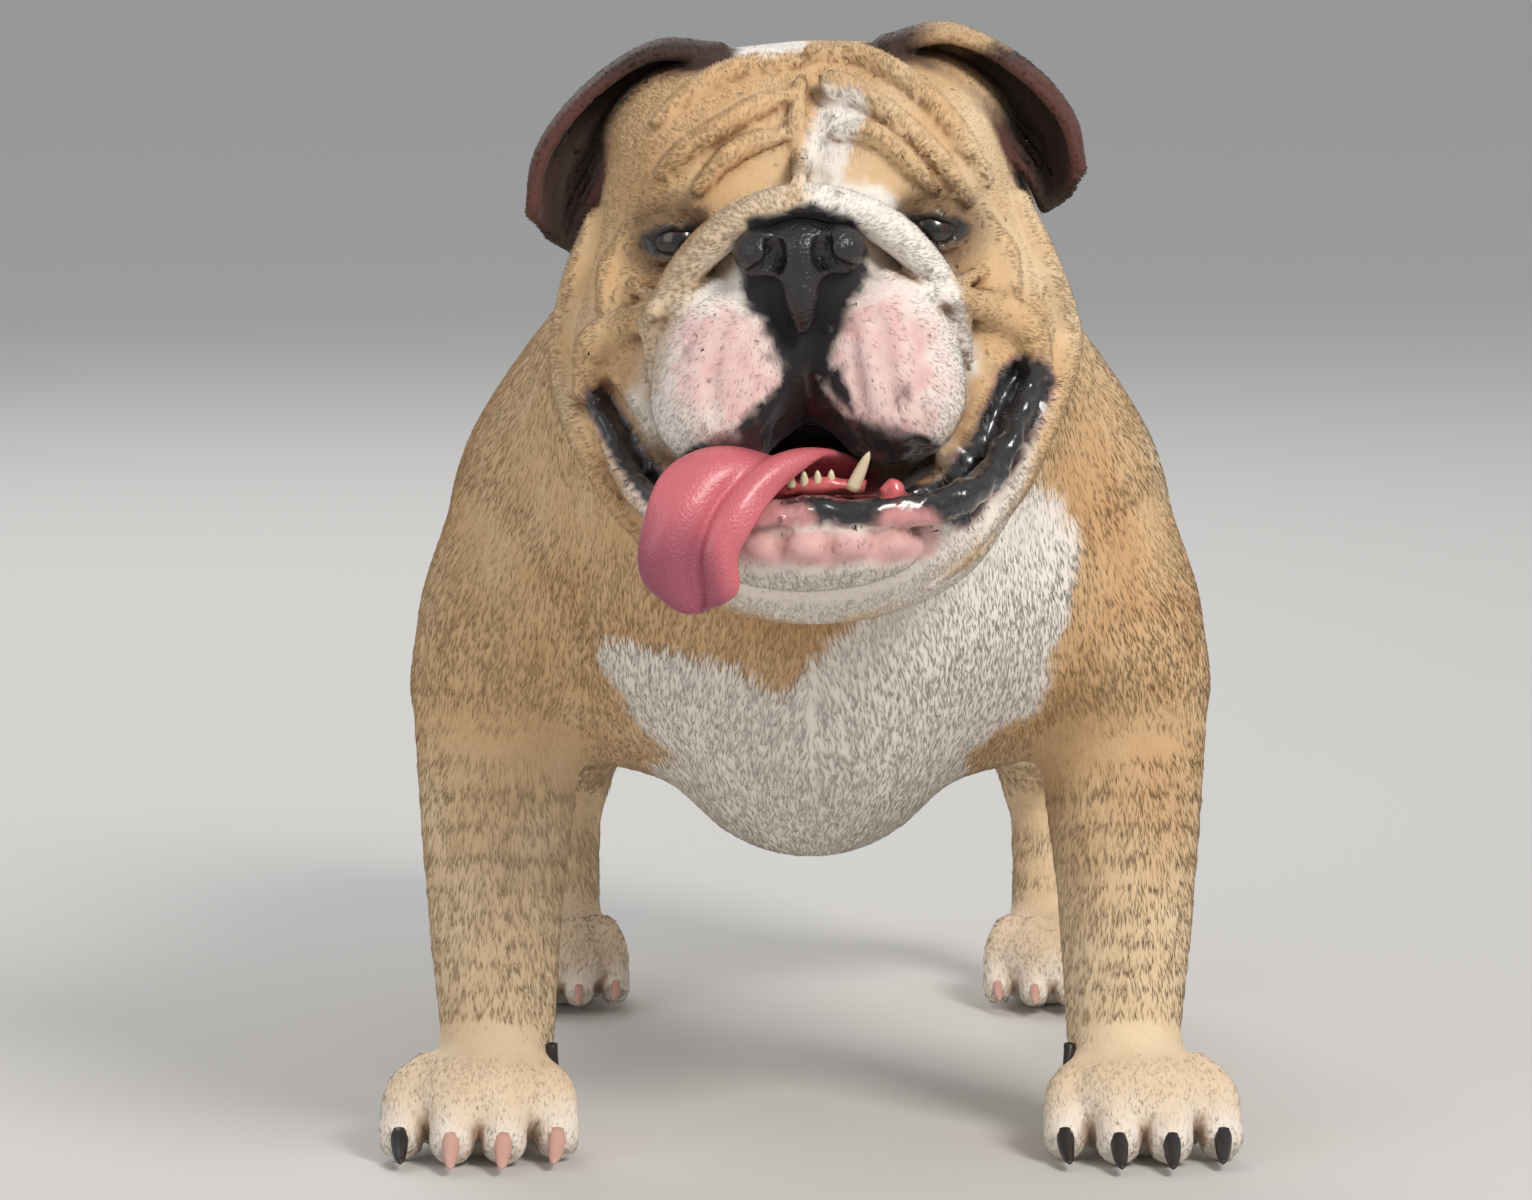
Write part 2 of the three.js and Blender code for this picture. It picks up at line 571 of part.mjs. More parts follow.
// The head pushed out along its normals, which is taken off whatever sits on it.
function grown(geometry, by) {
  const result = geometry.clone();
  result.computeVertexNormals();
  const { position, normal } = result.attributes;
  for (let i = 0; i < position.array.length; i++) position.array[i] += by * normal.array[i];
  return solid(result);
}
const grownHead = grown(headNet, 2 * GAP);

add('head', skullSolid, 0xc79a63, 0.85);
add('lower_jaw', jawSolid, 0xe0cdb6, 0.8);
add('neck', neckSolid, 0xc79a63, 0.85);
add('nose', noseMass.subtract(grownHead), 0x1c1a1b, 0.4);
add('tongue', tongueMass.subtract(grownHead), 0xc76f78, 0.35);
for (const [side, name] of [[1, 'left'], [-1, 'right']]) {
  const droop = side < 0 ? RIGHT_EAR_DROOP : 0;
  const rails = EAR_RAILS.map((rail) => rail.map(([x, y, z], i) => [side * x, y, z + (droop * i) / 4]));
  const ear = sheet(rails, 5, 8, 8);
  add('ear_' + name, solid(inHead(ear)).subtract(grownHead), 0x3a2a20, 0.8);
  add('eye_' + name, eyeball(side, EYE_RADIUS), 0x1d120c, 0.1);
}

// Torso and tail.
const torsoMass = flesh([-200, -250, 90], [200, 345, 430], [22, 32, 22]);
let torsoSolid = torsoMass.subtract(neckBlock(GAP)).subtract(headBlock(GAP)).subtract(tailBlock(GAP));
for (const side of [1, -1]) {
  torsoSolid = torsoSolid.subtract(forelegBlock(side, GAP)).subtract(hindlegBlock(side, GAP));
}
add('torso', torsoSolid, 0xc99d68, 0.85);
add('tail', flesh([-45, 250, 230], [45, 350, 360], [9, 13, 11]).intersect(tailBlock(0)), 0xc79a63, 0.85);

// Claws are bent cones with their roots sunk in the toes.
function claw(at, length, radius, outward) {
  const cone = new THREE.ConeGeometry(radius, length, 6).rotateX(degrees(128)).rotateZ(degrees(outward));
  return solid(cone.translate(...at));
}
function clawsOf(side, pawX, pawY, width, length, size) {
  return [-1.5, -0.5, 0.5, 1.5].map((step) => {
    const back = Math.abs(step) > 1 ? length * 0.42 : 0;
    const at = [side * pawX + step * width * 1.1, pawY + back - length * 0.42 - width * 0.42, 9];
    return claw(at, size, size * 0.26, -step * 6);
  });
}

// Legs, each parted from its paw above the toes.
for (const [side, name] of [[1, 'left'], [-1, 'right']]) {
  const span = (a, b) => (side > 0 ? [a, b] : [-b, -a]);
  const [lowX, highX] = span(55, 205);
  const foreleg = flesh([lowX, -240, 20], [highX, 60, 270], LEG_CELL).intersect(forelegBlock(side, 0));
  add('foreleg_' + name, foreleg.intersect(above(PAW_TOP + GAP)), 0xc99d68, 0.85);
  let forepaw = flesh([lowX, -215, -12], [highX, -60, 70], PAW_CELL).intersect(below(PAW_TOP));
  for (const piece of clawsOf(side, FORELEG_X + 4, -164, 19.5, 26, 13)) forepaw = forepaw.add(piece);
  forepaw = forepaw.add(claw([side * 103, -140, 43], 11, 3, side * 30));
  add('forepaw_' + name, forepaw.intersect(floor), 0xd8c2a4, 0.85);
  const [lowH, highH] = span(20, 160);
  const hindleg = flesh([lowH, 100, 20], [highH, 330, 320], LEG_CELL).intersect(hindlegBlock(side, 0));
  add('hindleg_' + name, hindleg.intersect(above(PAW_TOP + GAP)), 0xc99d68, 0.85);
  let hindpaw = flesh([side > 0 ? 70 : -155, 150, -12], [side > 0 ? 155 : -70, 285, 70], PAW_CELL).intersect(below(PAW_TOP));
  for (const piece of clawsOf(side, HINDLEG_X + 1, 190, 15, 24, 11)) hindpaw = hindpaw.add(piece);
  add('hindpaw_' + name, hindpaw.intersect(floor), 0xd8c2a4, 0.85);
}

dogGroup.position.set(...CENTRE_SHIFT);

export default dogGroup;
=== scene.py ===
# %% [markdown]
# A bulldog at life size, standing with its mouth open and its tongue out to its right.
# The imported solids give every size. Blender gives the skin, the coat, the wet parts and their colours.

# %% Load the frame
import math
from concurrent.futures import ThreadPoolExecutor

import bmesh
import bpy
import numpy as np
import openvdb
from mathutils import Matrix, Vector


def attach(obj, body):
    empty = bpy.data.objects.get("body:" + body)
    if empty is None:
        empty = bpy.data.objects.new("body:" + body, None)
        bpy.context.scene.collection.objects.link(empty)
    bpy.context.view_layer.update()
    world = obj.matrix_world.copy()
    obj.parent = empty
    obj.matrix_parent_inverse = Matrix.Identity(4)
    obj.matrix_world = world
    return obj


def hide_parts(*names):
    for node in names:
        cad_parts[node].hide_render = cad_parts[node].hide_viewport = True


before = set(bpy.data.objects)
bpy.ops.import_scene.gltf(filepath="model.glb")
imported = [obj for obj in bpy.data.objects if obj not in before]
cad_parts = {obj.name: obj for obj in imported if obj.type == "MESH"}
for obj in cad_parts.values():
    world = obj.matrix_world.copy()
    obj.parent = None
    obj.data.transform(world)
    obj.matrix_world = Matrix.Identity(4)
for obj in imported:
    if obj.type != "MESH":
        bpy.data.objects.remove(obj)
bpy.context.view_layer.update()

# %% [markdown]
# All the flesh is described as the solids' source describes it: an ordered list of rounded masses, each melted into
# or carved out of those before it. Lengths are in millimetres while the shapes are worked out, and every piece is
# made in metres. The head has a frame of its own, because it is turned and tilted on the neck.

# %% Driving dimensions
MM = 0.001
CENTRE_SHIFT = np.array([0, 8.4, 0])  # the solids' source moves the dog by this to centre it
COAT_DEPTH = 1.4  # the skin lies this far inside the solids
SHOULDER_X = 79
FORELEG_X = 132
HINDLEG_X = 111
HEAD_CENTRE = (0, -225, 346)
HEAD_PITCH, HEAD_ROLL, HEAD_YAW = -4.7, -2.5, -3  # degrees
EYE_X, EYE_Z = 49, 37
EYE_RADIUS = 11
HEAD_MELT = 10


def turned(degrees_xyz):
    """The turn of three angles, about x, then y, then z of the piece's own axes."""
    x, y, z = (math.radians(a) for a in degrees_xyz)
    rx = Matrix.Rotation(x, 3, "X")
    ry = Matrix.Rotation(y, 3, "Y")
    rz = Matrix.Rotation(z, 3, "Z")
    return np.array(rx @ ry @ rz)


HEAD_TURN = turned((HEAD_PITCH, HEAD_ROLL, HEAD_YAW))


def from_head(p):
    """Points of the head's frame in the dog's frame, in millimetres."""
    return np.asarray(p, float) @ HEAD_TURN.T + HEAD_CENTRE


def to_head(p):
    return (np.asarray(p, float) - HEAD_CENTRE) @ HEAD_TURN


def to_metres(p):
    return (np.asarray(p, float) + CENTRE_SHIFT) * MM


# %% Curves and soft joins
def curve_points(points, steps):
    """A smooth curve through the points, with steps stretches between two of them."""
    p = np.asarray(points, float)
    p = np.vstack([2 * p[0] - p[1], p, 2 * p[-1] - p[-2]])
    out = []
    for i in range(1, len(p) - 2):
        for t in np.arange(steps) / steps:
            a, b, c, d = p[i - 1], p[i], p[i + 1], p[i + 2]
            bend, twist = 2 * a - 5 * b + 4 * c - d, 3 * b - a - 3 * c + d
            out.append(0.5 * (2 * b + (c - a) * t + bend * t**2 + twist * t**3))
    out.append(p[-2])
    return np.array(out)


def blend(a, b, width):
    """The nearer of two distances, with a soft join of some width between them."""
    overlap = np.maximum(width - np.abs(a - b), 0) / width
    return np.minimum(a, b) - overlap**2 * width / 4


# %% Flesh
class Flesh:
    """An ordered list of rounded masses."""

    def __init__(self):
        self.masses = []

    def ball(self, centre, radii, turn=(0, 0, 0), melt=15, carve=False, pair=False):
        """An egg-shaped mass, melted in or carved out, and mirrored for a pair."""
        centre, radii = np.array(centre, float), np.array(radii, float)
        turn_back = turned(turn)

        def distance(p):
            q = (p - centre) @ turn_back
            near = np.linalg.norm(q / radii, axis=1)
            steep = np.linalg.norm(q / radii**2, axis=1)
            return np.where(steep < 1e-9, -radii.min(), near * (near - 1) / np.maximum(steep, 1e-9))

        self.masses.append((distance, centre, radii.max(), melt, carve))
        if pair:
            self.ball(centre * (-1, 1, 1), radii, (turn[0], -turn[1], -turn[2]), melt, carve)
        return self

    def roll(self, points, radii, melt=8, carve=False, pair=False, steps=6):
        """A round bar along a curve, whose radii are spread evenly over its length."""
        line = curve_points(points, steps)
        size = np.interp(np.linspace(0, 1, len(line)), np.linspace(0, 1, len(radii)), radii)

        def distance(p):
            best = np.full(len(p), np.inf)
            for a, b, ra, rb in zip(line, line[1:], size, size[1:]):
                d = b - a
                t = np.clip((p - a) @ d / (d @ d), 0, 1)
                best = np.minimum(best, np.linalg.norm(p - a - t[:, None] * d, axis=1) - ra - t * (rb - ra))
            return best

        middle = line.mean(0)
        reach = (np.linalg.norm(line - middle, axis=1) + size).max()
        self.masses.append((distance, middle, reach, melt, carve))
        if pair:
            self.roll([(-x, y, z) for x, y, z in points], radii, melt, carve, False, steps)
        return self

    def near(self, centre, radius, band):
        """The masses that shape the skin within band of a round region."""
        found = Flesh()
        found.masses = [m for m in self.masses if np.linalg.norm(m[1] - centre) - m[2] - radius < band + m[3]]
        return found

    def at(self, p):
        """The distance to the skin of all masses, below nought inside."""
        d = np.full(len(p), 1000.0)
        for distance, centre, reach, melt, carve in self.masses:
            far = np.linalg.norm(p - centre, axis=1) - reach
            here = np.nonzero(far < (melt - d if carve else d + melt))[0]
            if not len(here):
                continue
            new = distance(p[here])
            d[here] = -blend(-d[here], new, melt) if carve else blend(d[here], new, melt)
        return d

    def front(self, x, z, start=-170, stop=120):
        """The y of the skin that shows from the front at each (x, z)."""
        x, z = np.broadcast_arrays(np.atleast_1d(np.asarray(x, float)), np.atleast_1d(np.asarray(z, float)))
        y = np.full(len(x), float(start))
        for _ in range(60):
            d = self.at(np.column_stack([x, y, z]))
            y = np.where((d > 0.05) & (y < stop), y + np.maximum(d * 0.8, 0.2), y)
        return y

    def fold(self, points, radii, lift=0, pair=False, **options):
        """A roll of skin drawn on the face through (x, z) points."""
        x, z = np.array(points, float).T
        for side in (1, -1) if pair else (1,):
            y = self.front(side * x, z) - lift
            self.roll(np.column_stack([side * x, y, z]), radii, **options)
        return self

# %% [markdown]
# The body comes first: a barrel of ribs, a deep brisket between wide-set forelegs, heavy shoulders, a roach back that
# is highest over the loin, and lighter hind quarters.

# %% Body masses
body = Flesh()


def torso(flesh):
    flesh.ball((0, 20, 240), (120, 160, 110), melt=1)  # rib cage
    flesh.ball((0, 105, 228), (94, 125, 70), melt=40)  # belly
    flesh.ball((0, -85, 192), (70, 92, 78), melt=26)  # brisket
    flesh.ball((0, -126, 240), (98, 80, 82), melt=30)  # forechest
    flesh.ball((0, 5, 300), (86, 90, 80), melt=40)  # withers
    flesh.ball((0, 105, 268), (96, 125, 98), melt=40)  # back
    flesh.ball((0, 170, 288), (80, 85, 84), melt=40)  # loin
    flesh.ball((0, 216, 264), (78, 68, 78), melt=35)  # rump
    flesh.ball((SHOULDER_X, -62, 243), (74, 88, 93), melt=30, pair=True)  # shoulder
    flesh.ball((0, -80, 322), (104, 108, 74), melt=40)  # base of the neck
    flesh.ball((0, -150, 325), (94, 78, 88), melt=40)  # neck behind the head


def forelegs(flesh):
    flesh.ball((FORELEG_X - 9, -86, 206), (42, 52, 54), turn=(8, 0, 0), melt=18, pair=True)  # upper arm
    flesh.roll([(FORELEG_X - 3, -88, 184), (FORELEG_X - 1, -106, 108), (FORELEG_X - 2, -116, 48)], [38, 30, 25],
               melt=10, pair=True)
    flesh.ball((FORELEG_X + 3, -140, 20), (37, 36, 24), melt=14, pair=True)  # paw


def hindlegs(flesh):
    flesh.ball((80, 200, 208), (46, 62, 86), turn=(-12, 0, 0), melt=30, pair=True)  # thigh
    flesh.ball((94, 166, 168), (30, 34, 40), melt=22, pair=True)  # stifle
    flesh.roll([(96, 188, 165), (105, 230, 125), (HINDLEG_X - 1, 256, 100)], [34, 25, 19], melt=18, pair=True)
    flesh.roll([(HINDLEG_X, 256, 102), (HINDLEG_X, 247, 60), (HINDLEG_X, 236, 28)], [18, 16, 17], melt=10, pair=True)
    flesh.ball((HINDLEG_X, 214, 19), (29, 38, 21), melt=12, pair=True)  # paw


TOE_STEPS = (-1.5, -0.5, 0.5, 1.5)  # toes across the paw, in widths of a toe


def toe_back(step, length):
    """How far an outer toe stands behind the two middle ones."""
    return length * 0.42 if abs(step) > 1 else 0


def toes(flesh, paw_x, paw_y, width, length):
    for step in TOE_STEPS:
        back = toe_back(step, length)
        root = (paw_x + step * width * 0.72, paw_y + length * 0.9 + back * 0.5, 29)
        knuckle = (paw_x + step * width, paw_y + back + length * 0.15, 24)
        tip = (paw_x + step * width * 1.08, paw_y + back - length * 0.45, 10)
        flesh.roll([root, knuckle, tip], [12, width * 0.6, width * 0.55], melt=2)


torso(body)
forelegs(body)
hindlegs(body)
body.roll([(0, 266, 306), (4, 290, 306), (3, 310, 290), (-4, 316, 270)], [24, 18, 13, 7], melt=12)  # screw tail
FOREPAW, HINDPAW = (-164, 19.5, 26), (190, 15, 24)  # y, width and length of the toes
FOREPAW_X = {1: FORELEG_X + 4, -1: -FORELEG_X - 4}
HINDPAW_X = {1: HINDLEG_X + 1, -1: -HINDLEG_X - 1}
for side in (1, -1):
    toes(body, FOREPAW_X[side], *FOREPAW)
    toes(body, HINDPAW_X[side], *HINDPAW)

# %% Head masses
head = Flesh()


def skull(flesh):
    flesh.ball((0, 32, 50), (80, 74, 67), melt=1)  # cranium
    flesh.ball((46, 22, 72), (38, 44, 36), melt=24, pair=True)  # temple, under the ear
    flesh.ball((60, 16, 0), (38, 52, 54), melt=30, pair=True)  # cheek
    flesh.ball((36, -12, 58), (34, 32, 30), melt=20, pair=True)  # brow
    flesh.ball((0, -28, 4), (58, 42, 42), melt=20)  # muzzle
    flesh.ball((0, -42, 36), (44, 34, 22), melt=12)  # bridge behind the nose
    flesh.ball((0, -16, -72), (74, 58, 45), melt=25)  # lower jaw
    flesh.ball((66, 4, -38), (27, 44, 38), melt=18, pair=True)  # jowl


def mouth(flesh):
    flesh.ball((0, -66, -50), (50, 52, 15), melt=5, carve=True)
    flesh.roll([(40, -74, -52), (66, -52, -46), (83, -26, -20)], [10, 8, 4], melt=4, carve=True, pair=True)


FLEW_CREASES = [
    [(17, 2), (18, -16), (22, -34)],
    [(28, 8), (31, -12), (33, -34)],
    [(38, 10), (45, -10), (42, -32)],
    [(-17, 4), (-19, -14), (-25, -34)],
    [(-30, 6), (-36, -12), (-37, -34)],
]


def muzzle(flesh):
    flesh.ball((30, -54, -10), (30, 31, 37), melt=10, pair=True)  # flew
    flesh.ball((34, -60, -27), (28, 26, 27), melt=10, pair=True)  # hanging edge of the flew
    flesh.roll([(0, -90, -10), (0, -93, -24), (0, -89, -38), (0, -82, -52)], [1.5, 7, 14, 20], melt=4,
               carve=True)  # cleft
    flesh.roll([(0, -80, -18), (0, -76, -32), (0, -72, -46)], [3, 10, 17], melt=3, carve=True)  # gap to the mouth
    flesh.ball((0, -62, 22), (27, 20, 20), melt=8)  # bed of the nose
    for points in FLEW_CREASES:
        flesh.fold(points, [1.0, 2.8, 1.0], lift=0.4, melt=2.5, carve=True)
    flesh.roll([(-62, -38, -18), (-56, -58, 8), (-34, -72, 36), (0, -79, 50), (34, -72, 38), (56, -58, 10),
                (62, -38, -16)], [3, 8, 9, 8, 9, 8, 3], melt=1.5)  # rope of skin over the nose


def lower_lip(flesh):
    flesh.ball((0, -68, -84), (44, 24, 18), melt=8)  # chin
    flesh.roll([(0, -88, -71), (30, -84, -71), (54, -70, -68), (71, -48, -56), (84, -24, -27)], [8, 8, 8, 7, 5],
               melt=5, pair=True)
    flesh.roll([(-16, -76, -62), (1, -79, -60), (18, -76, -61)], [4, 5, 5], melt=3)  # gum
    flesh.ball((32, -77, -63), (7, 6, 6), melt=2)  # fleshy lump behind the canine
    for x in (-19, -2, 15, 30):
        flesh.ball((x, -90 + 0.012 * x * x, -83), (9.5, 9, 7.5), melt=3)  # lobes of the chin


skull(head)
mouth(head)
muzzle(head)
lower_lip(head)

# %% [markdown]
# Folds are laid on the face by their places as seen from the front, so that each one follows the skin below it.

# %% Folds of the face
head.fold([(84, 48), (93, 20), (98, -8), (90, -36), (74, -68), (44, -102)], [5, 8, 9.5, 9, 7, 2], melt=3, lift=-1.5,
          pair=True)
head.fold([(58, 10), (71, 5), (84, -3), (88, -18)], [5, 9, 10, 8], melt=3, lift=-1, pair=True)
head.fold([(70, 44), (78, 28), (80, 14)], [2, 6, 5], melt=3, lift=-2.5, pair=True)  # from the eye down the cheek
head.fold([(32, 20), (50, 12), (68, 20)], [3, 5, 4], melt=3, lift=-2, pair=True)  # bag under the eye
FOREHEAD = [
    ([(-1, 105), (-16, 105), (-30, 102), (-43, 95), (-56, 84)], [4, 6.5, 6.5, 6, 4]),
    ([(-3, 92), (-17, 88), (-31, 80), (-44, 73), (-55, 64)], [4.5, 6.5, 6.5, 6, 4]),
    ([(-5, 77), (-18, 74), (-28, 69), (-40, 57)], [4, 6, 6, 4]),
    ([(5, 109), (23, 107), (37, 100), (50, 89), (63, 72), (72, 56)], [5, 6.5, 6.5, 6.5, 6, 4]),
    ([(13, 94), (19, 93), (30, 87), (43, 76), (55, 63), (64, 48)], [8.5, 7.5, 6, 6, 5.5, 4]),
    ([(14, 76), (23, 77), (33, 73), (44, 62), (52, 52)], [4, 6, 6, 5.5, 3]),
    ([(1, 96), (-1, 80), (1, 67), (1, 58)], [5, 5.5, 5.5, 4]),
]
for points, radii in FOREHEAD:
    head.fold(points, radii, melt=1.4, lift=0)
head.fold([(6, 104), (7, 84), (7, 60)], [2.0, 3.0, 2.8], melt=2, lift=1, carve=True)  # furrow down the middle

# %% Eye sockets and lids
socket_y = float(head.front(EYE_X, EYE_Z)[0])
head.ball((EYE_X, socket_y - 1, EYE_Z - 1), (17, 8, 10), melt=6, carve=True, pair=True)
EYE_Y = float(head.front(EYE_X, EYE_Z)[0]) + 6
print("eyes lie at y", round(EYE_Y, 1))


def lid(side, up, height, thickness, melt):
    """A roll of lid over the ball, from the inner to the outer corner of the eye."""
    points = []
    for t in np.linspace(0, math.pi, 7):
        across, rise = 12.5 * math.cos(t), up * height * math.sin(t)
        reach = EYE_RADIUS + 0.6
        forward = math.sqrt(max(reach**2 - across**2 - rise**2, 3))
        points.append((side * (EYE_X + across), EYE_Y - forward, EYE_Z + rise - 0.08 * across))
    head.roll(points, [1.6, thickness, thickness, 1.6], melt=melt, steps=3)


for side in (1, -1):
    lid(side, 1, 6.2, 3.4, 5)
    lid(side, -1, 6.4, 3.0, 5)

# %% [markdown]
# A rose ear is a thin cup that opens forward. Its rim rolls over at the top, and its tip hangs out to the side.
# Each ear is a row of thin rolls that run from root to tip, melted into one sheet, so that it joins the skin.

# %% Ears
EAR_RAILS = [
    [(34, 0, 104), (54, -4, 94), (72, -4, 77), (86, 0, 60), (93, 6, 44)],
    [(33, 13, 106), (55, 18, 102), (80, 20, 87), (96, 17, 67), (100, 10, 49)],
    [(33, 16, 110), (56, 22, 112), (84, 22, 97), (101, 15, 75), (104, 6, 53)],
    [(33, 9, 112), (58, 8, 117), (87, 6, 102), (105, -2, 80), (108, -5, 58)],
    [(35, 1, 109), (60, -4, 113), (86, -8, 98), (103, -12, 78), (108, -13, 60)],
]
EAR_DROOP = {1: 0, -1: -8}  # the dog's right ear hangs lower
ears = Flesh()
for side, droop in EAR_DROOP.items():
    rails = np.array(EAR_RAILS, float) * (side, 1, 1)
    rails[:, :, 2] += droop * np.linspace(0, 1, 5)
    across = np.array([curve_points(rails[:, i], 4) for i in range(5)])  # station, rail, xyz
    for k in range(across.shape[1]):
        ears.roll(across[:, k], [3.9, 3.4, 3.0], melt=4, steps=4)

# %% The whole dog as one distance
def dog_distance(p, body_part, head_part, ear_part):
    q = to_head(p)
    d = blend(body_part.at(p), head_part.at(q), HEAD_MELT)
    return blend(d, ear_part.at(q), 3) if ear_part.masses else d


def dog(p):
    """Distance to the skin at points of the dog's frame, worked out in blocks so that each asks few masses."""
    p = np.asarray(p, float)
    out = np.empty(len(p))
    cell = np.floor(p / 40).astype(int)
    order = np.lexsort(cell.T)
    edges = np.nonzero(np.any(np.diff(cell[order], axis=0) != 0, axis=1))[0] + 1

    def fill(chunk):
        centre = p[chunk].mean(0)
        radius = np.linalg.norm(p[chunk] - centre, axis=1).max()
        centre_h = to_head(centre)
        parts = (body.near(centre, radius, 8), head.near(centre_h, radius, 20), ears.near(centre_h, radius, 8))
        out[chunk] = dog_distance(p[chunk], *parts) + COAT_DEPTH

    with ThreadPoolExecutor(4) as workers:
        list(workers.map(fill, np.split(order, edges)))
    return out

# %% [markdown]
# The skin is the surface where that distance is nought. A grid of distances is filled finely only near the skin, and
# the volume tools that come with Blender wrap it in a mesh.

# %% Fill the grid
BAND = 3.0  # the grid is filled this many cells to either side of the skin
VOXEL = 1.8
LOW = np.array([-190.0, -345.0, -6.0])
HIGH = np.array([190.0, 335.0, 480.0])
BLOCK = 6


def distance_grid(low, high, voxel, field):
    """Distances on a grid: fine near the skin, and just inside or outside elsewhere."""
    counts = np.ceil((high - low) / voxel / BLOCK).astype(int)
    axes = [low[k] + (np.arange(counts[k]) + 0.5) * voxel * BLOCK - voxel / 2 for k in range(3)]
    centres = np.stack(np.meshgrid(*axes, indexing="ij"), -1).reshape(-1, 3)
    coarse = field(centres)
    half = voxel * BLOCK * 0.87 * 1.25 + BAND * voxel  # half a block's diagonal, and some room
    grid = np.repeat(np.repeat(np.repeat(np.sign(coarse).reshape(counts), BLOCK, 0), BLOCK, 1), BLOCK, 2)
    grid = (grid * BAND * voxel).astype(np.float32)
    busy = np.nonzero(np.abs(coarse) < half)[0]
    offsets = np.stack(np.meshgrid(*[np.arange(BLOCK)] * 3, indexing="ij"), -1).reshape(-1, 3)
    place = np.stack(np.unravel_index(busy, counts), -1)[:, None] * BLOCK + offsets
    values = field(low + place.reshape(-1, 3) * voxel)
    i, j, k = place.reshape(-1, 3).T
    grid[i, j, k] = np.clip(values, -BAND * voxel, BAND * voxel)
    return grid


def skin_mesh(low, high, voxel, field):
    """Corners and four-sided faces of the skin inside a box, in millimetres."""
    grid = openvdb.FloatGrid(BAND * voxel)
    grid.copyFromArray(distance_grid(low, high, voxel, field))
    corners, quads = grid.convertToQuads(0.0)
    return np.asarray(corners, float) * voxel + low, np.asarray(quads)


def onto_skin(p, field, rounds=1, step=0.3):
    """Points moved along the slope of a field onto its surface, with the slope as their normal."""
    ways = np.array([(1, -1, -1), (-1, -1, 1), (-1, 1, -1), (1, 1, 1)])
    for _ in range(rounds):
        f = [field(p + step * way) for way in ways]
        slope = sum(value[:, None] * way for value, way in zip(f, ways))
        slope /= 4 * step
        steep = np.maximum((slope**2).sum(1), 0.2)
        value = sum(f) / 4
        p = p - np.clip(value / steep, -1.5, 1.5)[:, None] * slope
    return p, slope / np.linalg.norm(slope, axis=1, keepdims=True)


# %% Mesh the skin
corners, quads = skin_mesh(LOW, HIGH, VOXEL, dog)
print("skin of", len(quads), "four-sided faces")

# %% [markdown]
# A mesh that fine everywhere would be far too heavy, so it is thinned. The corners are shaken a little first, more on
# the head than elsewhere, because thinning takes away what lies flat. So the body keeps even faces, and the head
# keeps most corners. Each corner that is left is then drawn back onto the true skin.

# %% Thin the skin
def placed(name, data):
    """An object that carries some data, in the scene."""
    made = bpy.data.objects.new(name, data)
    bpy.context.scene.collection.objects.link(made)
    return made


def piece(name, points, faces):
    """A smooth mesh object from points in metres and faces."""
    mesh = bpy.data.meshes.new(name)
    mesh.from_pydata(np.asarray(points, float), [], faces)
    mesh.shade_smooth()
    return placed(name, mesh)


def stored(items, name, width, kind=float):
    """One property of all items of a mesh, as rows of some width."""
    flat = np.empty(len(items) * width, kind)
    items.foreach_get(name, flat)
    return flat.reshape(-1, width)


def ramp(value, low, high):
    """A smooth rise from 0 to 1 between two values, or a fall where they are given the other way."""
    t = np.clip((value - low) / (high - low), 0, 1)
    return t * t * (3 - 2 * t)


SKIN_FACES = 190000
SHAKE, HEAD_SHAKE = 0.2, 0.3  # in millimetres: everywhere, and more on the head
skin = piece("skin", to_metres(corners), quads)
headness = ramp(np.linalg.norm(to_head(corners) - (0, -10, 10), axis=1), 150, 105)
shake = np.random.default_rng(5).normal(0, 1, corners.shape) * (SHAKE + HEAD_SHAKE * headness)[:, None]
skin.data.vertices.foreach_set("co", to_metres(corners + shake).ravel())
modifier = skin.modifiers.new("thin", "DECIMATE")
modifier.ratio = min(1.0, SKIN_FACES / (2 * len(quads)))
evaluated = skin.evaluated_get(bpy.context.evaluated_depsgraph_get())
thinned = bpy.data.meshes.new_from_object(evaluated)
skin.modifiers.clear()
skin.data = thinned
skin.data.name = "skin"
skin.data.shade_smooth()
skin_points, skin_normals = onto_skin(stored(skin.data.vertices, "co", 3) / MM - CENTRE_SHIFT, dog, rounds=2)
skin.data.vertices.foreach_set("co", to_metres(skin_points).ravel())
skin.data.update()
print("skin thinned to", len(skin.data.polygons), "faces and", len(skin_points), "corners")

# %% [markdown]
# The markings, and the shade painted inside the mouth, are painted by name: outlines and strokes on the chest and on
# the face as seen from the front, with edges roughened by seeded noise. The skin and every tuft of the coat ask the
# same function for their colour.

# %% Tools for the markings
class Noise:
    """Smooth noise between 0 and 1 on a lattice of seeded values."""

    def __init__(self, seed, cell):
        self.table = np.random.default_rng(seed).random((32, 32, 32))
        self.cell = cell

    def at(self, p):
        q = p / self.cell
        low = np.floor(q).astype(int)
        t = q - low
        t = t * t * (3 - 2 * t)
        out = np.zeros(len(p))
        for corner in np.ndindex(2, 2, 2):
            weight = np.prod(np.where(np.array(corner), t, 1 - t), axis=1)
            out += weight * self.table[tuple(((low + corner) % 32).T)]
        return out


def stroke(points, x, z):
    """Distance from (x, z) to a line through the points."""
    best = np.full(len(x), 1e6)
    for (ax, az), (bx, bz) in zip(points, points[1:]):
        dx, dz = bx - ax, bz - az
        t = np.clip(((x - ax) * dx + (z - az) * dz) / (dx * dx + dz * dz), 0, 1)
        best = np.minimum(best, np.hypot(x - ax - t * dx, z - az - t * dz))
    return best


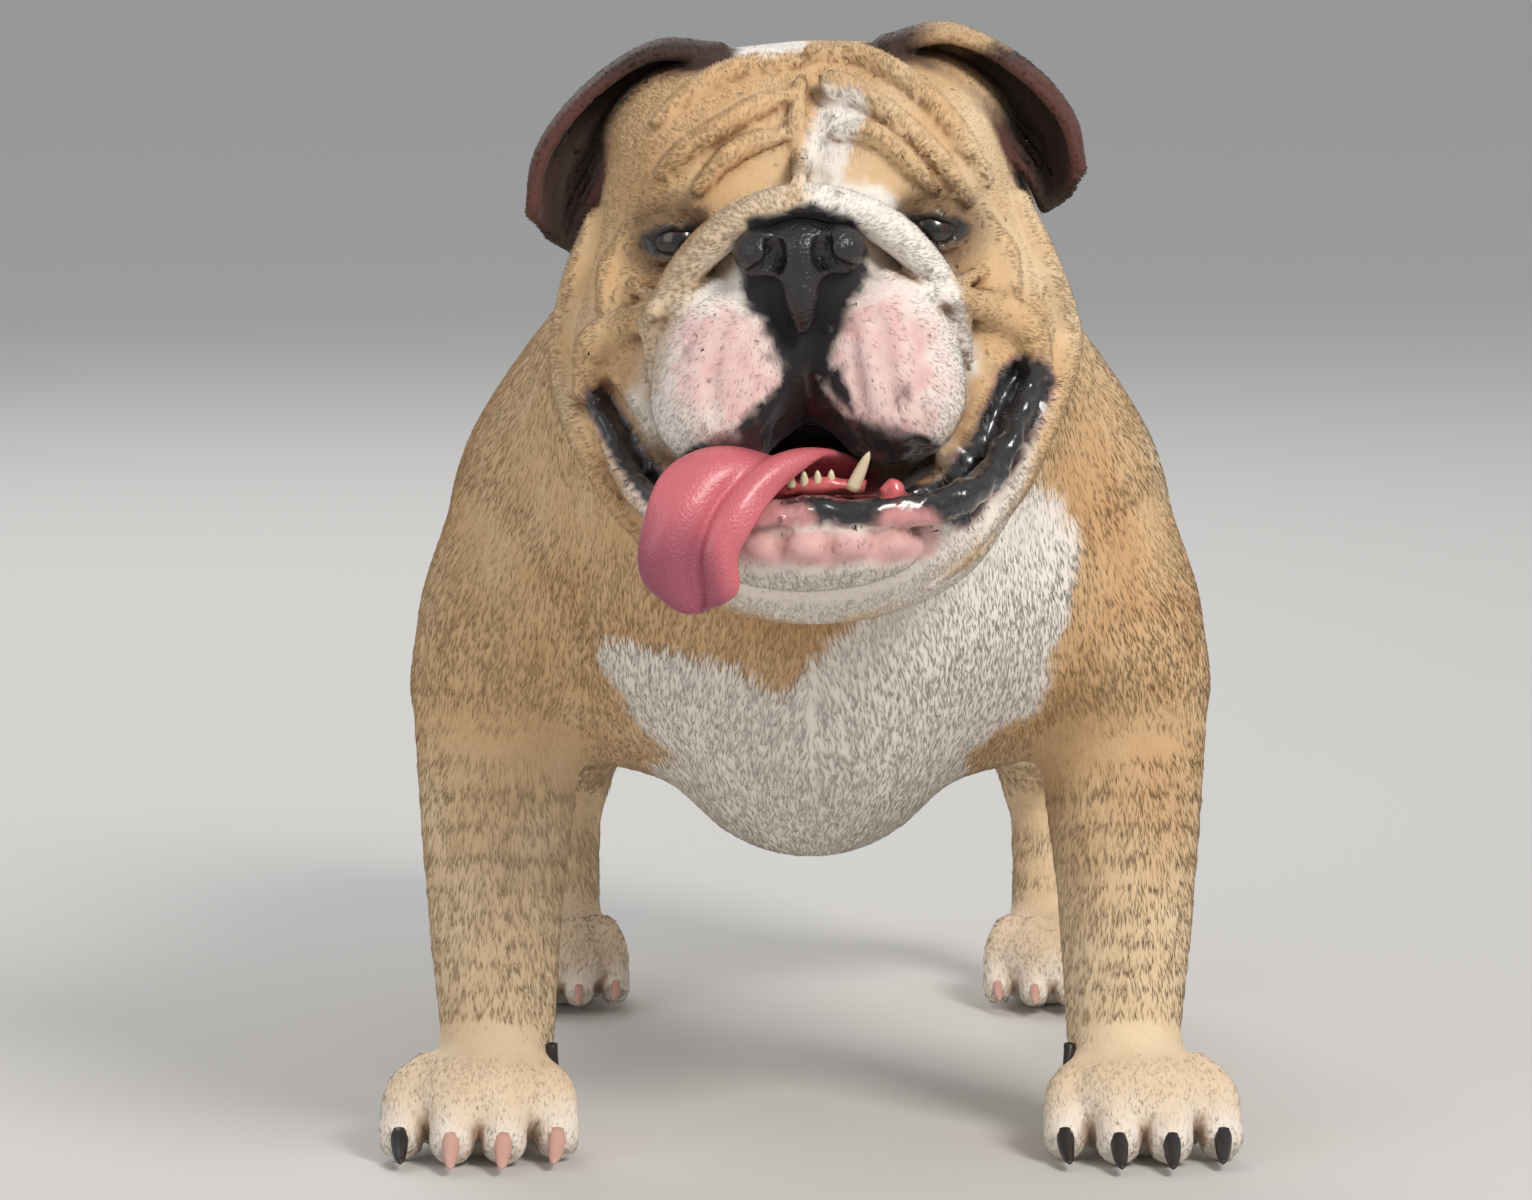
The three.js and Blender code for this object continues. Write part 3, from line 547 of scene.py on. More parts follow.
def region(outline, x, z):
    """Distance to an outline, positive inside it."""
    closed = list(outline) + [outline[0]]
    inside = np.zeros(len(x), bool)
    for (ax, az), (bx, bz) in zip(closed, closed[1:]):
        crosses = (az > z) != (bz > z)
        inside ^= crosses & (x < ax + (z - az) * (bx - ax) / (bz - az if bz != az else 1e-9))
    return np.where(inside, 1, -1) * stroke(closed, x, z)


def shade(red, green, blue):
    """A colour given as the eye reads it, as light."""
    c = np.array([red, green, blue]) / 255
    return np.where(c < 0.04045, c / 12.92, ((c + 0.055) / 1.055) ** 2.4)


# %% Markings, and painted shade inside the mouth
FAWN = shade(214, 178, 134)
FAWN_DARK = shade(196, 152, 106)
FAWN_LIGHT = shade(234, 212, 178)
WHITE = shade(240, 232, 222)
CREAM = shade(226, 204, 176)
PINK = shade(214, 148, 146)
BLACK = shade(30, 27, 29)
EAR_BROWN = shade(62, 44, 36)
EAR_HOLLOW = shade(92, 52, 46)
GUM = shade(206, 96, 98)
# Painted shade: the dark colour of the mouth's inside, which lies in shadow.
MOUTH_SHADE = shade(40, 20, 23)
CHEST = [(94, 283), (110, 251), (104, 215), (90, 180), (67, 168), (15, 135), (-17, 133), (-45, 156), (-69, 172),
         (-85, 196), (-89, 217), (-45, 212), (-9, 200), (7, 219)]
SKULL_PATCH = [(-30, 122), (0, 122), (2, 112), (-12, 108), (-29, 111)]
STRIPE = [(10, 95), (25, 93), (28, 84), (19, 70), (15, 54), (4, 55), (3, 70), (6, 86)]
ROPE_LEFT_SIDE = [(1, 51), (28, 47), (45, 29), (53, 9), (58, -14)]
ROPE_RIGHT_SIDE = [(1, 51), (-22, 45), (-42, 27), (-57, 3), (-63, -16)]
MUZZLE = [(-20, 40), (-36, 30), (-52, 8), (-62, -8), (-74, -24), (-65, -41), (-42, -52), (-14, -44), (-3, -20),
          (11, -35), (28, -56), (51, -52), (62, -30), (64, -10), (54, 10), (38, 32), (22, 42)]
FLEW_PINK = [[(-43, 2), (-27, 9), (-14, 1), (-11, -26), (-25, -41), (-40, -33), (-47, -17)],
             [(14, 11), (31, 18), (48, 2), (54, -21), (48, -44), (32, -49), (17, -39), (10, -16)]]
NOSE_BLACK = [(-20, 44), (-25, 26), (-24, 10), (-15, 5), (-10, -7), (-5, -16), (6, -16), (11, -6), (15, 5), (25, 12),
              (27, 25), (22, 44), (1, 49)]
CLEFT_BLACK = [[(-4, -12), (-9, -22), (-15, -32), (-20, -38)], [(4, -12), (10, -20), (17, -32), (27, -42)]]
LIP_EDGE = [[(-17, -42), (-30, -51), (-46, -53), (-62, -45), (-76, -28)],
            [(14, -42), (28, -55), (46, -57), (60, -49), (76, -30)]]
LOWER_LIP = [(-84, -24), (-71, -47), (-54, -66), (-30, -70), (0, -67), (30, -69), (54, -68), (71, -50), (84, -24)]
CHIN = [(-88, -28), (-74, -60), (-46, -100), (-2, -118), (36, -110), (74, -80), (94, -31), (80, -30), (64, -58),
        (43, -70), (22, -64), (-21, -66), (-56, -62), (-74, -34)]
CHIN_PINK = [(-30, -80), (-11, -83), (8, -84), (27, -84), (42, -82)]
JAW_MOUTH = ((0, -66, -50), (50, 52, 15))

broad, middling, fine, speck = Noise(1, 70), Noise(2, 16), Noise(3, 4.5), Noise(4, 2.6)


def cover(colour, new, mask):
    """A colour laid over another where a mask is 1."""
    return colour + (new - colour) * mask[:, None]


def markings_and_mouth_shade(p):
    """Colour, wetness and bareness of the skin at points of the dog's frame, with painted shade inside the mouth."""
    x, y, z = p.T
    rough = (middling.at(p) - 0.5) * 10 + (fine.at(p) - 0.5) * 6
    tone = broad.at(p) * 0.6 + middling.at(p) * 0.4
    colour = FAWN + (FAWN_DARK - FAWN) * ramp(tone, 0.5, 0.9)[:, None] * 0.8
    colour = cover(colour, FAWN_LIGHT, ramp(tone, 0.5, 0.15) * 0.6)
    colour = cover(colour, FAWN_LIGHT, ramp(z, 190, 60) * 0.55)
    colour = cover(colour, FAWN_DARK, ramp(z, 300, 380) * ramp(y, -60, 40) * 0.5)
    front = ramp(y, -30, -70)
    colour = cover(colour, WHITE, ramp(region(CHEST, x, z) + rough * 0.8, -2, 3) * front)
    belly = ramp(np.abs(x), 78, 58) * ramp(z, 175, 150) * ramp(z, 40, 90)
    colour = cover(colour, WHITE, ramp(belly + rough * 0.03, 0.4, 0.6))
    colour = cover(colour, CREAM, ramp(z + rough, 60, 22) * 0.85)
    colour = cover(colour, WHITE, ramp(z + rough, 30, 12) * 0.7)
    wet, bare = np.zeros(len(p)), np.zeros(len(p))

    q = to_head(p)
    near = np.nonzero((np.linalg.norm(q, axis=1) < 175) & (q[:, 1] < 60))[0]
    if len(near):
        got = face_markings_and_mouth_shade(q[near], p[near], colour[near], rough[near])
        colour[near], wet[near], bare[near] = got
    return colour, wet, bare


def face_markings_and_mouth_shade(q, p, colour, rough):
    """Colour, wetness and bareness near the head, with painted shade inside the mouth, from the same points in the
    head's frame (q) and the dog's (p).
    """
    x, y, z = q.T
    wet, bare = np.zeros(len(q)), np.zeros(len(q))
    front = ramp(y, 30, -5)
    colour = cover(colour, WHITE, ramp(region(SKULL_PATCH, x, z) + rough * 0.5, -1, 2))
    colour = cover(colour, WHITE, ramp(region(STRIPE, x, z) + rough * 0.4, -2, 2) * front)
    chin = ramp(region(CHIN, x, z) + rough * 0.5, -2, 5) * front
    colour = cover(colour, WHITE, chin * 0.9)
    snout = ramp(region(MUZZLE, x, z) + rough * 0.5, -2, 4) * ramp(y, -25, -40)
    colour = cover(colour, WHITE, snout)
    rope_left = ramp(stroke(ROPE_LEFT_SIDE, x, z) + rough * 0.3, 10, 6) * ramp(y, -30, -40)
    rope_right = ramp(stroke(ROPE_RIGHT_SIDE, x, z) + rough * 0.3, 9, 6) * ramp(y, -30, -40)
    colour = cover(colour, WHITE, rope_left * ramp(x, -2, 8))
    colour = cover(colour, CREAM, rope_right * ramp(x, 4, -6) * 0.75)
    pink = np.maximum(*[ramp(region(o, x, z) + rough * 1.3, -12, 10) for o in FLEW_PINK]) * ramp(y, -40, -55)
    colour = cover(colour, PINK, pink * (0.35 + 0.4 * fine.at(p)))
    bare = np.maximum(bare, pink * 0.62)
    chin_pink = ramp(stroke(CHIN_PINK, x, z) + rough * 0.4, 10, 5) * front
    colour = cover(colour, PINK, chin_pink * 0.75)
    bare = np.maximum(bare, chin_pink * 0.8)
    spots = ramp(middling.at(p + 90) + (fine.at(p) - 0.5) * 0.3, 0.74, 0.86) * snout * ramp(z, 30, 10)
    colour = cover(colour, shade(70, 62, 66), spots * 0.6)

    ragged = rough * 0.55
    for line in LIP_EDGE:
        edge = ramp(stroke(line, x, z) + ragged * 0.5, 3, 1.5) * ramp(y, -30, -44)
        colour = cover(colour, BLACK, edge * 0.7)
    black = ramp(region(NOSE_BLACK, x, z) + ragged, -1.5, 1.5) * ramp(y, -50, -58)
    for line in CLEFT_BLACK:
        black = np.maximum(black, ramp(stroke(line, x, z) + rough * 0.8, 6.5, 4) * ramp(y, -50, -60))
    colour = cover(colour, BLACK, black)
    bare = np.maximum(bare, black)

    # The open mouth: black lip at its front edge, then painted shade further in, where the mouth lies in shadow.
    gap = ramp(-z - 12 - np.abs(x) * 1.7 + ragged, -1, 3) * ramp(y, -88, -84) * ramp(z, -56, -50)
    colour = cover(colour, BLACK + (MOUTH_SHADE - BLACK) * ramp(y, -84, -60)[:, None], gap)
    wet, bare = np.maximum(wet, gap * 0.7), np.maximum(bare, gap)
    reach = 9 + 4 * ramp(x, 44, 60) - 2 * ramp(x, -40, -60)
    lip = ramp(stroke(LOWER_LIP, x, z) / reach + ragged * 0.03, 1.0, 0.75) * front
    pinkish = ramp(stroke([(-36, -72), (-16, -68)], x, z), 9, 4) + ramp(stroke([(34, -76), (42, -78)], x, z), 10, 6)
    pinkish = np.clip(pinkish + ramp(middling.at(p + 40), 0.72, 0.8) * ramp(np.abs(x), 40, 20), 0, 1)
    colour = cover(colour, PINK * 0.9, lip)
    colour = cover(colour, BLACK, lip * (1 - pinkish))
    wet, bare = np.maximum(wet, lip), np.maximum(bare, lip)
    # Inside the mouth: black lip at the top, and painted shade lower down, where the mouth lies in shadow.
    hollow = 1 - np.linalg.norm((q - JAW_MOUTH[0]) / (np.array(JAW_MOUTH[1]) + 3), axis=1)
    inside = ramp(hollow, 0.0, 0.06) * ramp(y, -86, -78)
    colour = cover(colour, BLACK + (MOUTH_SHADE - BLACK) * ramp(z, -46, -54)[:, None], inside)
    gum = ramp(stroke([(-16, -61), (1, -59), (20, -61)], x, z), 7, 5) * ramp(y, -90, -83) * ramp(z, -67, -64)
    lump = ramp(np.linalg.norm(q - (32, -77, -63), axis=1), 10, 7)
    colour = cover(colour, GUM, np.maximum(gum * ramp(z, -50, -54), lump))
    wet, bare = np.maximum(wet, inside), np.maximum(bare, np.maximum(inside, np.maximum(gum, lump)))

    for side in (1, -1):
        away = np.linalg.norm((q - (side * EYE_X, EYE_Y, EYE_Z)) / (1.15, 1.6, 1), axis=1)
        colour = cover(colour, FAWN_DARK * 0.3, ramp(away + rough * 0.35, 25, 13) * 0.8)
        opening = np.hypot((x - side * EYE_X) / 11.5, (z - EYE_Z) / 5.2)
        rim = ramp(opening + rough * 0.012, 1.5, 1.2) * ramp(away, 18, 15)
        colour = cover(colour, BLACK, rim)
        wet, bare = np.maximum(wet, rim * 0.6), np.maximum(bare, rim)

    high = np.nonzero((z > 15) & (np.abs(x) > 22))[0]
    if len(high):
        near_ear = ears.at(q[high])
        ear = ramp(near_ear + rough[high] * 0.25 + COAT_DEPTH, 6, 1.5)
        hollow = ramp(q[high, 1], 6, -6) * ramp(q[high, 2], 110, 96)
        tint = EAR_BROWN + (EAR_HOLLOW - EAR_BROWN) * (hollow * 0.8)[:, None]
        top = ramp(q[high, 0], 40, 60) * ramp(q[high, 2] + rough[high], 104, 112)
        tint = cover(tint, FAWN, top * 0.8)
        colour[high] = cover(colour[high], tint, ear)
        bare[high] = np.maximum(bare[high], ear * hollow * 0.5)
    return colour, wet, bare


# %% Paint the skin
def attribute(obj, name, values):
    """A value or a colour stored at each corner of a mesh."""
    values = np.asarray(values, np.float32)
    if values.ndim == 1:
        obj.data.attributes.new(name, "FLOAT", "POINT").data.foreach_set("value", values)
    else:
        filled = np.column_stack([np.clip(values, 0, 1), np.ones(len(values))]).astype(np.float32)
        obj.data.attributes.new(name, "FLOAT_COLOR", "POINT").data.foreach_set("color", filled.ravel())


# Painted shade in folds, where light reaches less: the skin is tested this far out along its normal, in millimetres.
CREASE_SHADE_REACH = (3.0, 8.0)
CREASE_SHADE_TINT = (0.5, 0.6, 0.68)  # painted shade: how much a deep fold takes from red, green and blue


def crease_shade(p, n):
    """Painted shade in folds: how deep each point lies in a fold, from how much nearer the skin is than it should be,
    out along the normal.
    """
    short = [np.clip(1 - dog(p + reach * n) / reach, 0, 1) for reach in CREASE_SHADE_REACH]
    return ramp(sum(short) / len(short), 0.2, 0.8)


skin_colour, skin_wet, skin_bare = markings_and_mouth_shade(skin_points)
# Painted shade: the skin's colour is darkened in its folds.
skin_crease_shade = crease_shade(skin_points, skin_normals)
skin_colour = skin_colour * (1 - skin_crease_shade[:, None] * CREASE_SHADE_TINT)
CRIMP = 3.2  # height of the crimped edge of the wet lip
crimp = (fine.at(skin_points * 0.9) - 0.5) * CRIMP * skin_wet * ramp(to_head(skin_points)[:, 1], -20, -34)
skin_points = skin_points + skin_normals * crimp[:, None]
skin.data.vertices.foreach_set("co", to_metres(skin_points).ravel())
skin.data.update()
# The stored coat colour holds the painted shade of the folds and of the mouth.
attribute(skin, "coat", skin_colour)
attribute(skin, "wet", skin_wet)
attribute(skin, "bare", skin_bare)
print("painted", len(skin_colour), "corners, of them wet", int((skin_wet > 0.5).sum()))

# %% [markdown]
# The short coat lies flat. Each tuft is a thin closed spike of four faces whose root is in the skin and whose tip
# follows the lie of the hair: away from the nose on the head, back and down on the body, down on the legs.

# %% Unwrap the skin for the coat's colours
bpy.context.view_layer.objects.active = skin
skin.select_set(True)
bpy.ops.object.mode_set(mode="EDIT")
bpy.ops.mesh.select_all(action="SELECT")
skin.data.uv_layers.new(name="OFBake")
bpy.ops.uv.smart_project(angle_limit=math.radians(66), island_margin=0.002)
bpy.ops.object.mode_set(mode="OBJECT")
skin.data.calc_loop_triangles()
triangles = stored(skin.data.loop_triangles, "vertices", 3, int)
loops = stored(skin.data.loop_triangles, "loops", 3, int)
uvs = stored(skin.data.uv_layers["OFBake"].data, "uv", 2)
triangle_count = len(triangles)
print("unwrapped", triangle_count, "triangles")


# %% Lie of the hair
NOSE_POINT = np.array([0, -96, 22])  # in the head's frame


def lie(p, n):
    """The way the hair lies at points p with normals n."""
    x, y, z = p.T
    chest = ramp(y, 0, -120)
    out = np.column_stack([0.25 * np.sign(x) * chest, 0.85 * ramp(y, -120, 0) + 0.1, -0.55 - 0.5 * chest])
    leg = ramp(z, 190, 130)[:, None]
    out = out * (1 - leg) + np.array([0, 0.12, -1]) * leg
    toe = ramp(z, 48, 30)[:, None]
    out = out * (1 - toe) + np.array([0, -0.8, -0.55]) * toe
    q = to_head(p)
    away = (q - NOSE_POINT) / np.linalg.norm(q - NOSE_POINT, axis=1, keepdims=True)
    on_head = ramp(np.linalg.norm(q, axis=1) + np.maximum(q[:, 1], 0) * 0.8, 170, 125)[:, None]
    out = out * (1 - on_head) + (away @ HEAD_TURN.T) * on_head
    out -= (out * n).sum(1, keepdims=True) * n
    return out / np.maximum(np.linalg.norm(out, axis=1, keepdims=True), 1e-6)


# %% Plant the tufts
TUFTS = 350000
PER_PIECE = 45000
TUFT_LENGTH, SMALL_LESS_LONG = 7.5, 4.1  # on the body, and how much less on face and feet
TUFT_WIDTH, SMALL_LESS_WIDE = 1.0, 0.42
FLOOR_ROOM = 0.3  # the coat stays this far above the floor
rng = np.random.default_rng(7)
a, b, c = (skin_points[triangles[:, k]] for k in range(3))
area = np.linalg.norm(np.cross(b - a, c - a), axis=1) / 2
centre = (a + b + c) / 3
centre_head = to_head(centre)
on_face = ramp(np.linalg.norm(centre_head - (0, -10, 10), axis=1), 150, 115)
bareness = skin_bare[triangles].mean(1)
density = area * (1 + 1.6 * on_face) * np.clip(1 - 1.25 * bareness, 0, 1) * (centre[:, 2] > 4)
chosen = rng.choice(triangle_count, TUFTS, p=density / density.sum())
chosen.sort()
u, v = rng.random((2, TUFTS))
flip = u + v > 1
u, v = np.where(flip, 1 - u, u), np.where(flip, 1 - v, v)
weights = np.column_stack([1 - u - v, u, v])[:, :, None]
roots = (skin_points[triangles[chosen]] * weights).sum(1)
normals = (skin_normals[triangles[chosen]] * weights).sum(1)
normals /= np.linalg.norm(normals, axis=1, keepdims=True)
root_uv = (uvs[loops[chosen]] * weights).sum(1)
direction = lie(roots, normals)
across = np.cross(normals, direction)
swerve = rng.normal(0, 0.16, TUFTS)[:, None]
direction = direction * np.cos(swerve) + across * np.sin(swerve)
across = np.cross(normals, direction)
face = on_face[chosen]
small = np.maximum(face, ramp(roots[:, 2], 60, 30) * 0.9)
on_ear = np.zeros(TUFTS)
upper = np.nonzero(face > 0.3)[0]
on_ear[upper] = ramp(ears.at(to_head(roots[upper])) + COAT_DEPTH, 4, 1)
length = (TUFT_LENGTH - SMALL_LESS_LONG * small) * (1 - 0.4 * on_ear) * rng.uniform(0.7, 1.2, TUFTS)
width = (TUFT_WIDTH - SMALL_LESS_WIDE * small) * rng.uniform(0.7, 1.2, TUFTS)
rise = np.radians(rng.uniform(1, 4, TUFTS))
print("tufts", TUFTS, "over", round(area.sum() / 1e6, 2), "square metres")


def spikes(root, normal, direction, across, length, width, rise):
    """Four corners and four faces for each tuft."""
    half = (width / 2)[:, None] * across
    sunk = 0.5 * normal
    ridge_height = 0.08 * width + 0.3 * length * np.sin(rise)
    ridge = root + direction * (0.3 * length)[:, None] + normal * ridge_height[:, None]
    tip = root + direction * (length * np.cos(rise))[:, None] + normal * (length * np.sin(rise) * 0.8)[:, None]
    corner = np.stack([root - half - sunk, root + half - sunk, ridge, tip], 1)
    first = np.arange(len(root))[:, None, None] * 4
    faces = first + np.array([[0, 2, 1], [1, 2, 3], [0, 3, 2], [0, 1, 3]])
    return corner.reshape(-1, 3), faces.reshape(-1, 3)


PATCH = 0.003  # side of each tuft's patch in the unwrap
PATCH_CORNERS = np.array([[-0.5, -0.5], [0.5, -0.5], [0, 0], [0, 0.5]]) * PATCH
coat_pieces = []
tuft_colour, _, _ = markings_and_mouth_shade(roots)
# Painted shade: each tuft is darkened by the shade of the folds at its root, and given a random tone of its own.
root_crease_shade = (skin_crease_shade[triangles[chosen]] * weights[:, :, 0]).sum(1)
tuft_colour = tuft_colour * (1 - root_crease_shade[:, None] * CREASE_SHADE_TINT) * rng.uniform(0.95, 1.05, TUFTS)[:, None]
for n, start in enumerate(range(0, TUFTS, PER_PIECE)):
    part = slice(start, start + PER_PIECE)
    of_part = (values[part] for values in (roots, normals, direction, across, length, width, rise))
    points, faces = spikes(*of_part)
    points[:, 2] = np.maximum(points[:, 2], FLOOR_ROOM)
    tufts = piece(f"coat_{n}", to_metres(points), faces)
    attribute(tufts, "coat", np.repeat(tuft_colour[part], 4, axis=0))
    lay = tufts.data.attributes.new("skin_normal", "FLOAT_VECTOR", "POINT")
    lay.data.foreach_set("vector", np.repeat(normals[part], 4, axis=0).astype(np.float32).ravel())
    layer = tufts.data.uv_layers.new(name="OFBake")
    corner_uv = (root_uv[part][:, None] + PATCH_CORNERS).reshape(-1, 2)
    layer.data.foreach_set("uv", corner_uv[faces.ravel()].astype(np.float32).ravel())
    coat_pieces.append(tufts)
print("coat pieces", [len(o.data.polygons) for o in coat_pieces])

# %% [markdown]
# The parts without hair are pieces of their own. The nose leather is a soft mass with comma-shaped nostrils, meshed
# finely like the skin. The eyes are balls whose material gives the iris and a wet surface.

# %% Nose leather
leather = Flesh()
leather.ball((0, -75, 31), (18, 14, 14), melt=1)
leather.ball((15.5, -80, 31), (10.5, 12, 10), melt=3, pair=True)
leather.roll([(0, -81, 30), (0, -82, 14), (0, -77, 2)], [9, 7, 4], melt=5)
leather.roll([(0, -94, 46), (0, -94, 24), (0, -91, 6), (0, -84, -8)], [1.4, 1.8, 1.6, 1.2], melt=1.5, carve=True)
leather.roll([(9.5, -91, 38), (10, -87, 28), (16, -87, 22), (26, -81, 20)], [2.6, 4.8, 4, 2.6], melt=1.2, carve=True,
             pair=True)


def leather_distance(p):
    return leather.at(p) + 0.4


nose_points, nose_quads = skin_mesh(np.array([-36.0, -106, -22]), np.array([36.0, -50, 56]), 1.0, leather_distance)
nose_points, _ = onto_skin(nose_points, leather_distance)
nose = piece("nose_leather", to_metres(from_head(nose_points)), nose_quads)
print("nose leather", len(nose.data.polygons), "faces")


# %% Eyes
def eyeball(side):
    """A ball turned so that its gaze points ahead, with the distance from the gaze stored on it."""
    shape = bmesh.new()
    bmesh.ops.create_uvsphere(shape, u_segments=64, v_segments=40, radius=(EYE_RADIUS - 0.3) * MM)
    bmesh.ops.rotate(shape, verts=shape.verts, matrix=Matrix.Rotation(math.radians(90), 3, "X"))
    gaze = [math.hypot(v.co.x, v.co.z) / MM if v.co.y < 0 else EYE_RADIUS * 2 for v in shape.verts]
    place = to_metres(from_head([(side * EYE_X, EYE_Y, EYE_Z)]))[0]
    bmesh.ops.translate(shape, verts=shape.verts, vec=Vector(place))
    mesh = bpy.data.meshes.new("eye")
    shape.to_mesh(mesh)
    shape.free()
    mesh.shade_smooth()
    made = placed("eye_ball_left" if side > 0 else "eye_ball_right", mesh)
    attribute(made, "gaze", gaze)
    return made


eyes = {side: eyeball(side) for side in (1, -1)}

# %% [markdown]
# The tongue is a thick sheet that runs from inside the mouth, over the lower lip and down to the dog's right, with a
# groove down its middle and wavy edges that curl up.

# %% Tongue
TONGUE_RAILS = [
    [(-26, -10, -62), (-29, -50, -50), (-45, -84, -45), (-58, -99, -57), (-65, -104, -76), (-63, -103, -95),
     (-52, -102, -104)],
    [(-14, -10, -64), (-18, -50, -52), (-32, -88, -46), (-46, -104, -62), (-55, -108, -80), (-54, -106, -98),
     (-47, -104, -106)],
    [(0, -10, -65), (-5, -50, -55), (-18, -87, -50), (-34, -101, -64), (-43, -105, -82), (-43, -104, -99),
     (-42, -102, -106)],
    [(12, -10, -64), (7, -50, -53), (-5, -84, -48), (-24, -102, -63), (-34, -107, -80), (-34, -106, -97),
     (-38, -104, -104)],
    [(22, -10, -62), (17, -50, -51), (5, -79, -49), (-15, -98, -65), (-26, -104, -82), (-28, -103, -95),
     (-34, -102, -101)],
]
TONGUE_THICKNESS = 5.4


def walls(top, bottom):
    """The faces that close the two long sides and the two ends of a sheet."""
    m, n = top.shape
    faces = []
    for i in range(m - 1):
        faces.append([top[i, 0], bottom[i, 0], bottom[i + 1, 0], top[i + 1, 0]])
        faces.append([top[i, -1], top[i + 1, -1], bottom[i + 1, -1], bottom[i, -1]])
    for j in range(n - 1):
        faces.append([top[0, j], top[0, j + 1], bottom[0, j + 1], bottom[0, j]])
        faces.append([top[-1, j], bottom[-1, j], bottom[-1, j + 1], top[-1, j + 1]])
    return faces


def thick_sheet(rails, thickness, along, across):
    """Points and faces of a closed sheet through rails, rounded at its edges."""
    lines = np.array([curve_points(r, along) for r in rails])  # rail, station, xyz
    rows = np.array([curve_points(lines[:, i], across) for i in range(lines.shape[1])])
    down, over = np.gradient(rows, axis=0), np.gradient(rows, axis=1)
    normal = np.cross(down, over)
    normal /= np.linalg.norm(normal, axis=2, keepdims=True)
    m, n = rows.shape[:2]
    s = np.linspace(-1, 1, n)[None, :, None]
    t = np.linspace(0, 1, m)[:, None, None]
    round_edge = np.sqrt(np.clip(1 - np.abs(s) ** 5, 0.03, 1)) * np.sqrt(np.clip(1 - np.abs(t) ** 14, 0.03, 1))
    curl = 1.6 * np.abs(s) ** 3 * np.sin(t * 21 + s * 2) * ramp(t, 0.2, 0.5)
    groove = -1.8 * np.exp(-(s / 0.16) ** 2) * ramp(t, 0.15, 0.5)
    upper = rows + normal * (0.5 * thickness * round_edge + curl + groove)
    lower = rows + normal * (-0.5 * thickness * round_edge + curl + 0.3 * groove)
    points = np.concatenate([upper.reshape(-1, 3), lower.reshape(-1, 3)])
    top, bottom = np.arange(2 * m * n).reshape(2, m, n)
    above = np.stack([top[:-1, :-1], top[1:, :-1], top[1:, 1:], top[:-1, 1:]], -1)
    below = np.stack([bottom[:-1, :-1], bottom[:-1, 1:], bottom[1:, 1:], bottom[1:, :-1]], -1)
    return points, np.concatenate([above.reshape(-1, 4), below.reshape(-1, 4), np.array(walls(top, bottom))])


tongue_points, tongue_faces = thick_sheet(TONGUE_RAILS, TONGUE_THICKNESS, 14, 12)
tongue = piece("tongue_flesh", to_metres(from_head(tongue_points)), tongue_faces)
sideways = tongue_points[:, 0] + 0.35 * (tongue_points[:, 2] + 60)
attribute(tongue, "mauve", ramp(tongue_points[:, 2], -60, -86) * ramp(sideways, -38, -52))
print("tongue", len(tongue.data.polygons), "faces")

# %% [markdown]
# One lower canine stands up at the dog's left, with small front teeth beside it. Claws are bent cones that start
# inside the toes, and the dog has a dewclaw on the inner side of each foreleg.

# %% Teeth and claws
def bent_cone(place, length, radius, tilt, bend=0.0, segments=16, rings=8):
    """Points and faces of a cone with a rounded tip, standing at place, bent forward and turned by tilt."""
    points, faces = [], []
    turn = turned(tilt)
    for i in range(rings + 1):
        t = i / rings
        r = radius * math.sqrt(max(1 - t**1.7, 0.0)) if i < rings else radius * 0.06
        middle = np.array([0, -math.sin(bend * t) * length * 0.5 * t, length * t])
        for k in range(segments):
            a = 2 * math.pi * k / segments
            points.append(turn @ (middle + np.array([r * math.cos(a), r * math.sin(a), 0])) + place)
    for i in range(rings):
        for k in range(segments):
            n = (k + 1) % segments
            faces.append([i * segments + k, i * segments + n, (i + 1) * segments + n, (i + 1) * segments + k])
    faces.append(list(range(segments))[::-1])
    faces.append([rings * segments + k for k in range(segments)])
    return np.array(points), faces


def joined(parts):
    """Many lists of points and faces as one."""
    points, faces, start = [], [], 0
    for p, f in parts:
        points.append(p)
        faces += [[i + start for i in face] for face in f]
        start += len(p)
    return np.concatenate(points), faces


tooth_parts = [bent_cone((16, -80, -62), 17, 2.8, (6, 27, 0), bend=0.5)]
for x in (-7, -2, 3, 8):
    tooth_parts.append(bent_cone((x, -80 + 0.015 * x * x, -60), 6.5, 1.9, (14, 0.6 * x, 0)))
tooth_points, tooth_faces = joined(tooth_parts)
teeth = piece("teeth_lower", to_metres(from_head(tooth_points)), tooth_faces)


def paw_claws(paw_x, paw_y, width, length, size):
    """Four claws in front of the toes of one paw."""
    made = []
    for step in TOE_STEPS:
        at = (paw_x + step * width * 1.1, paw_y + toe_back(step, length) - length * 0.45 - width * 0.26, 13)
        made.append(bent_cone(at, size, size * 0.18, (136, 0, step * 5), bend=-0.9))
    return made


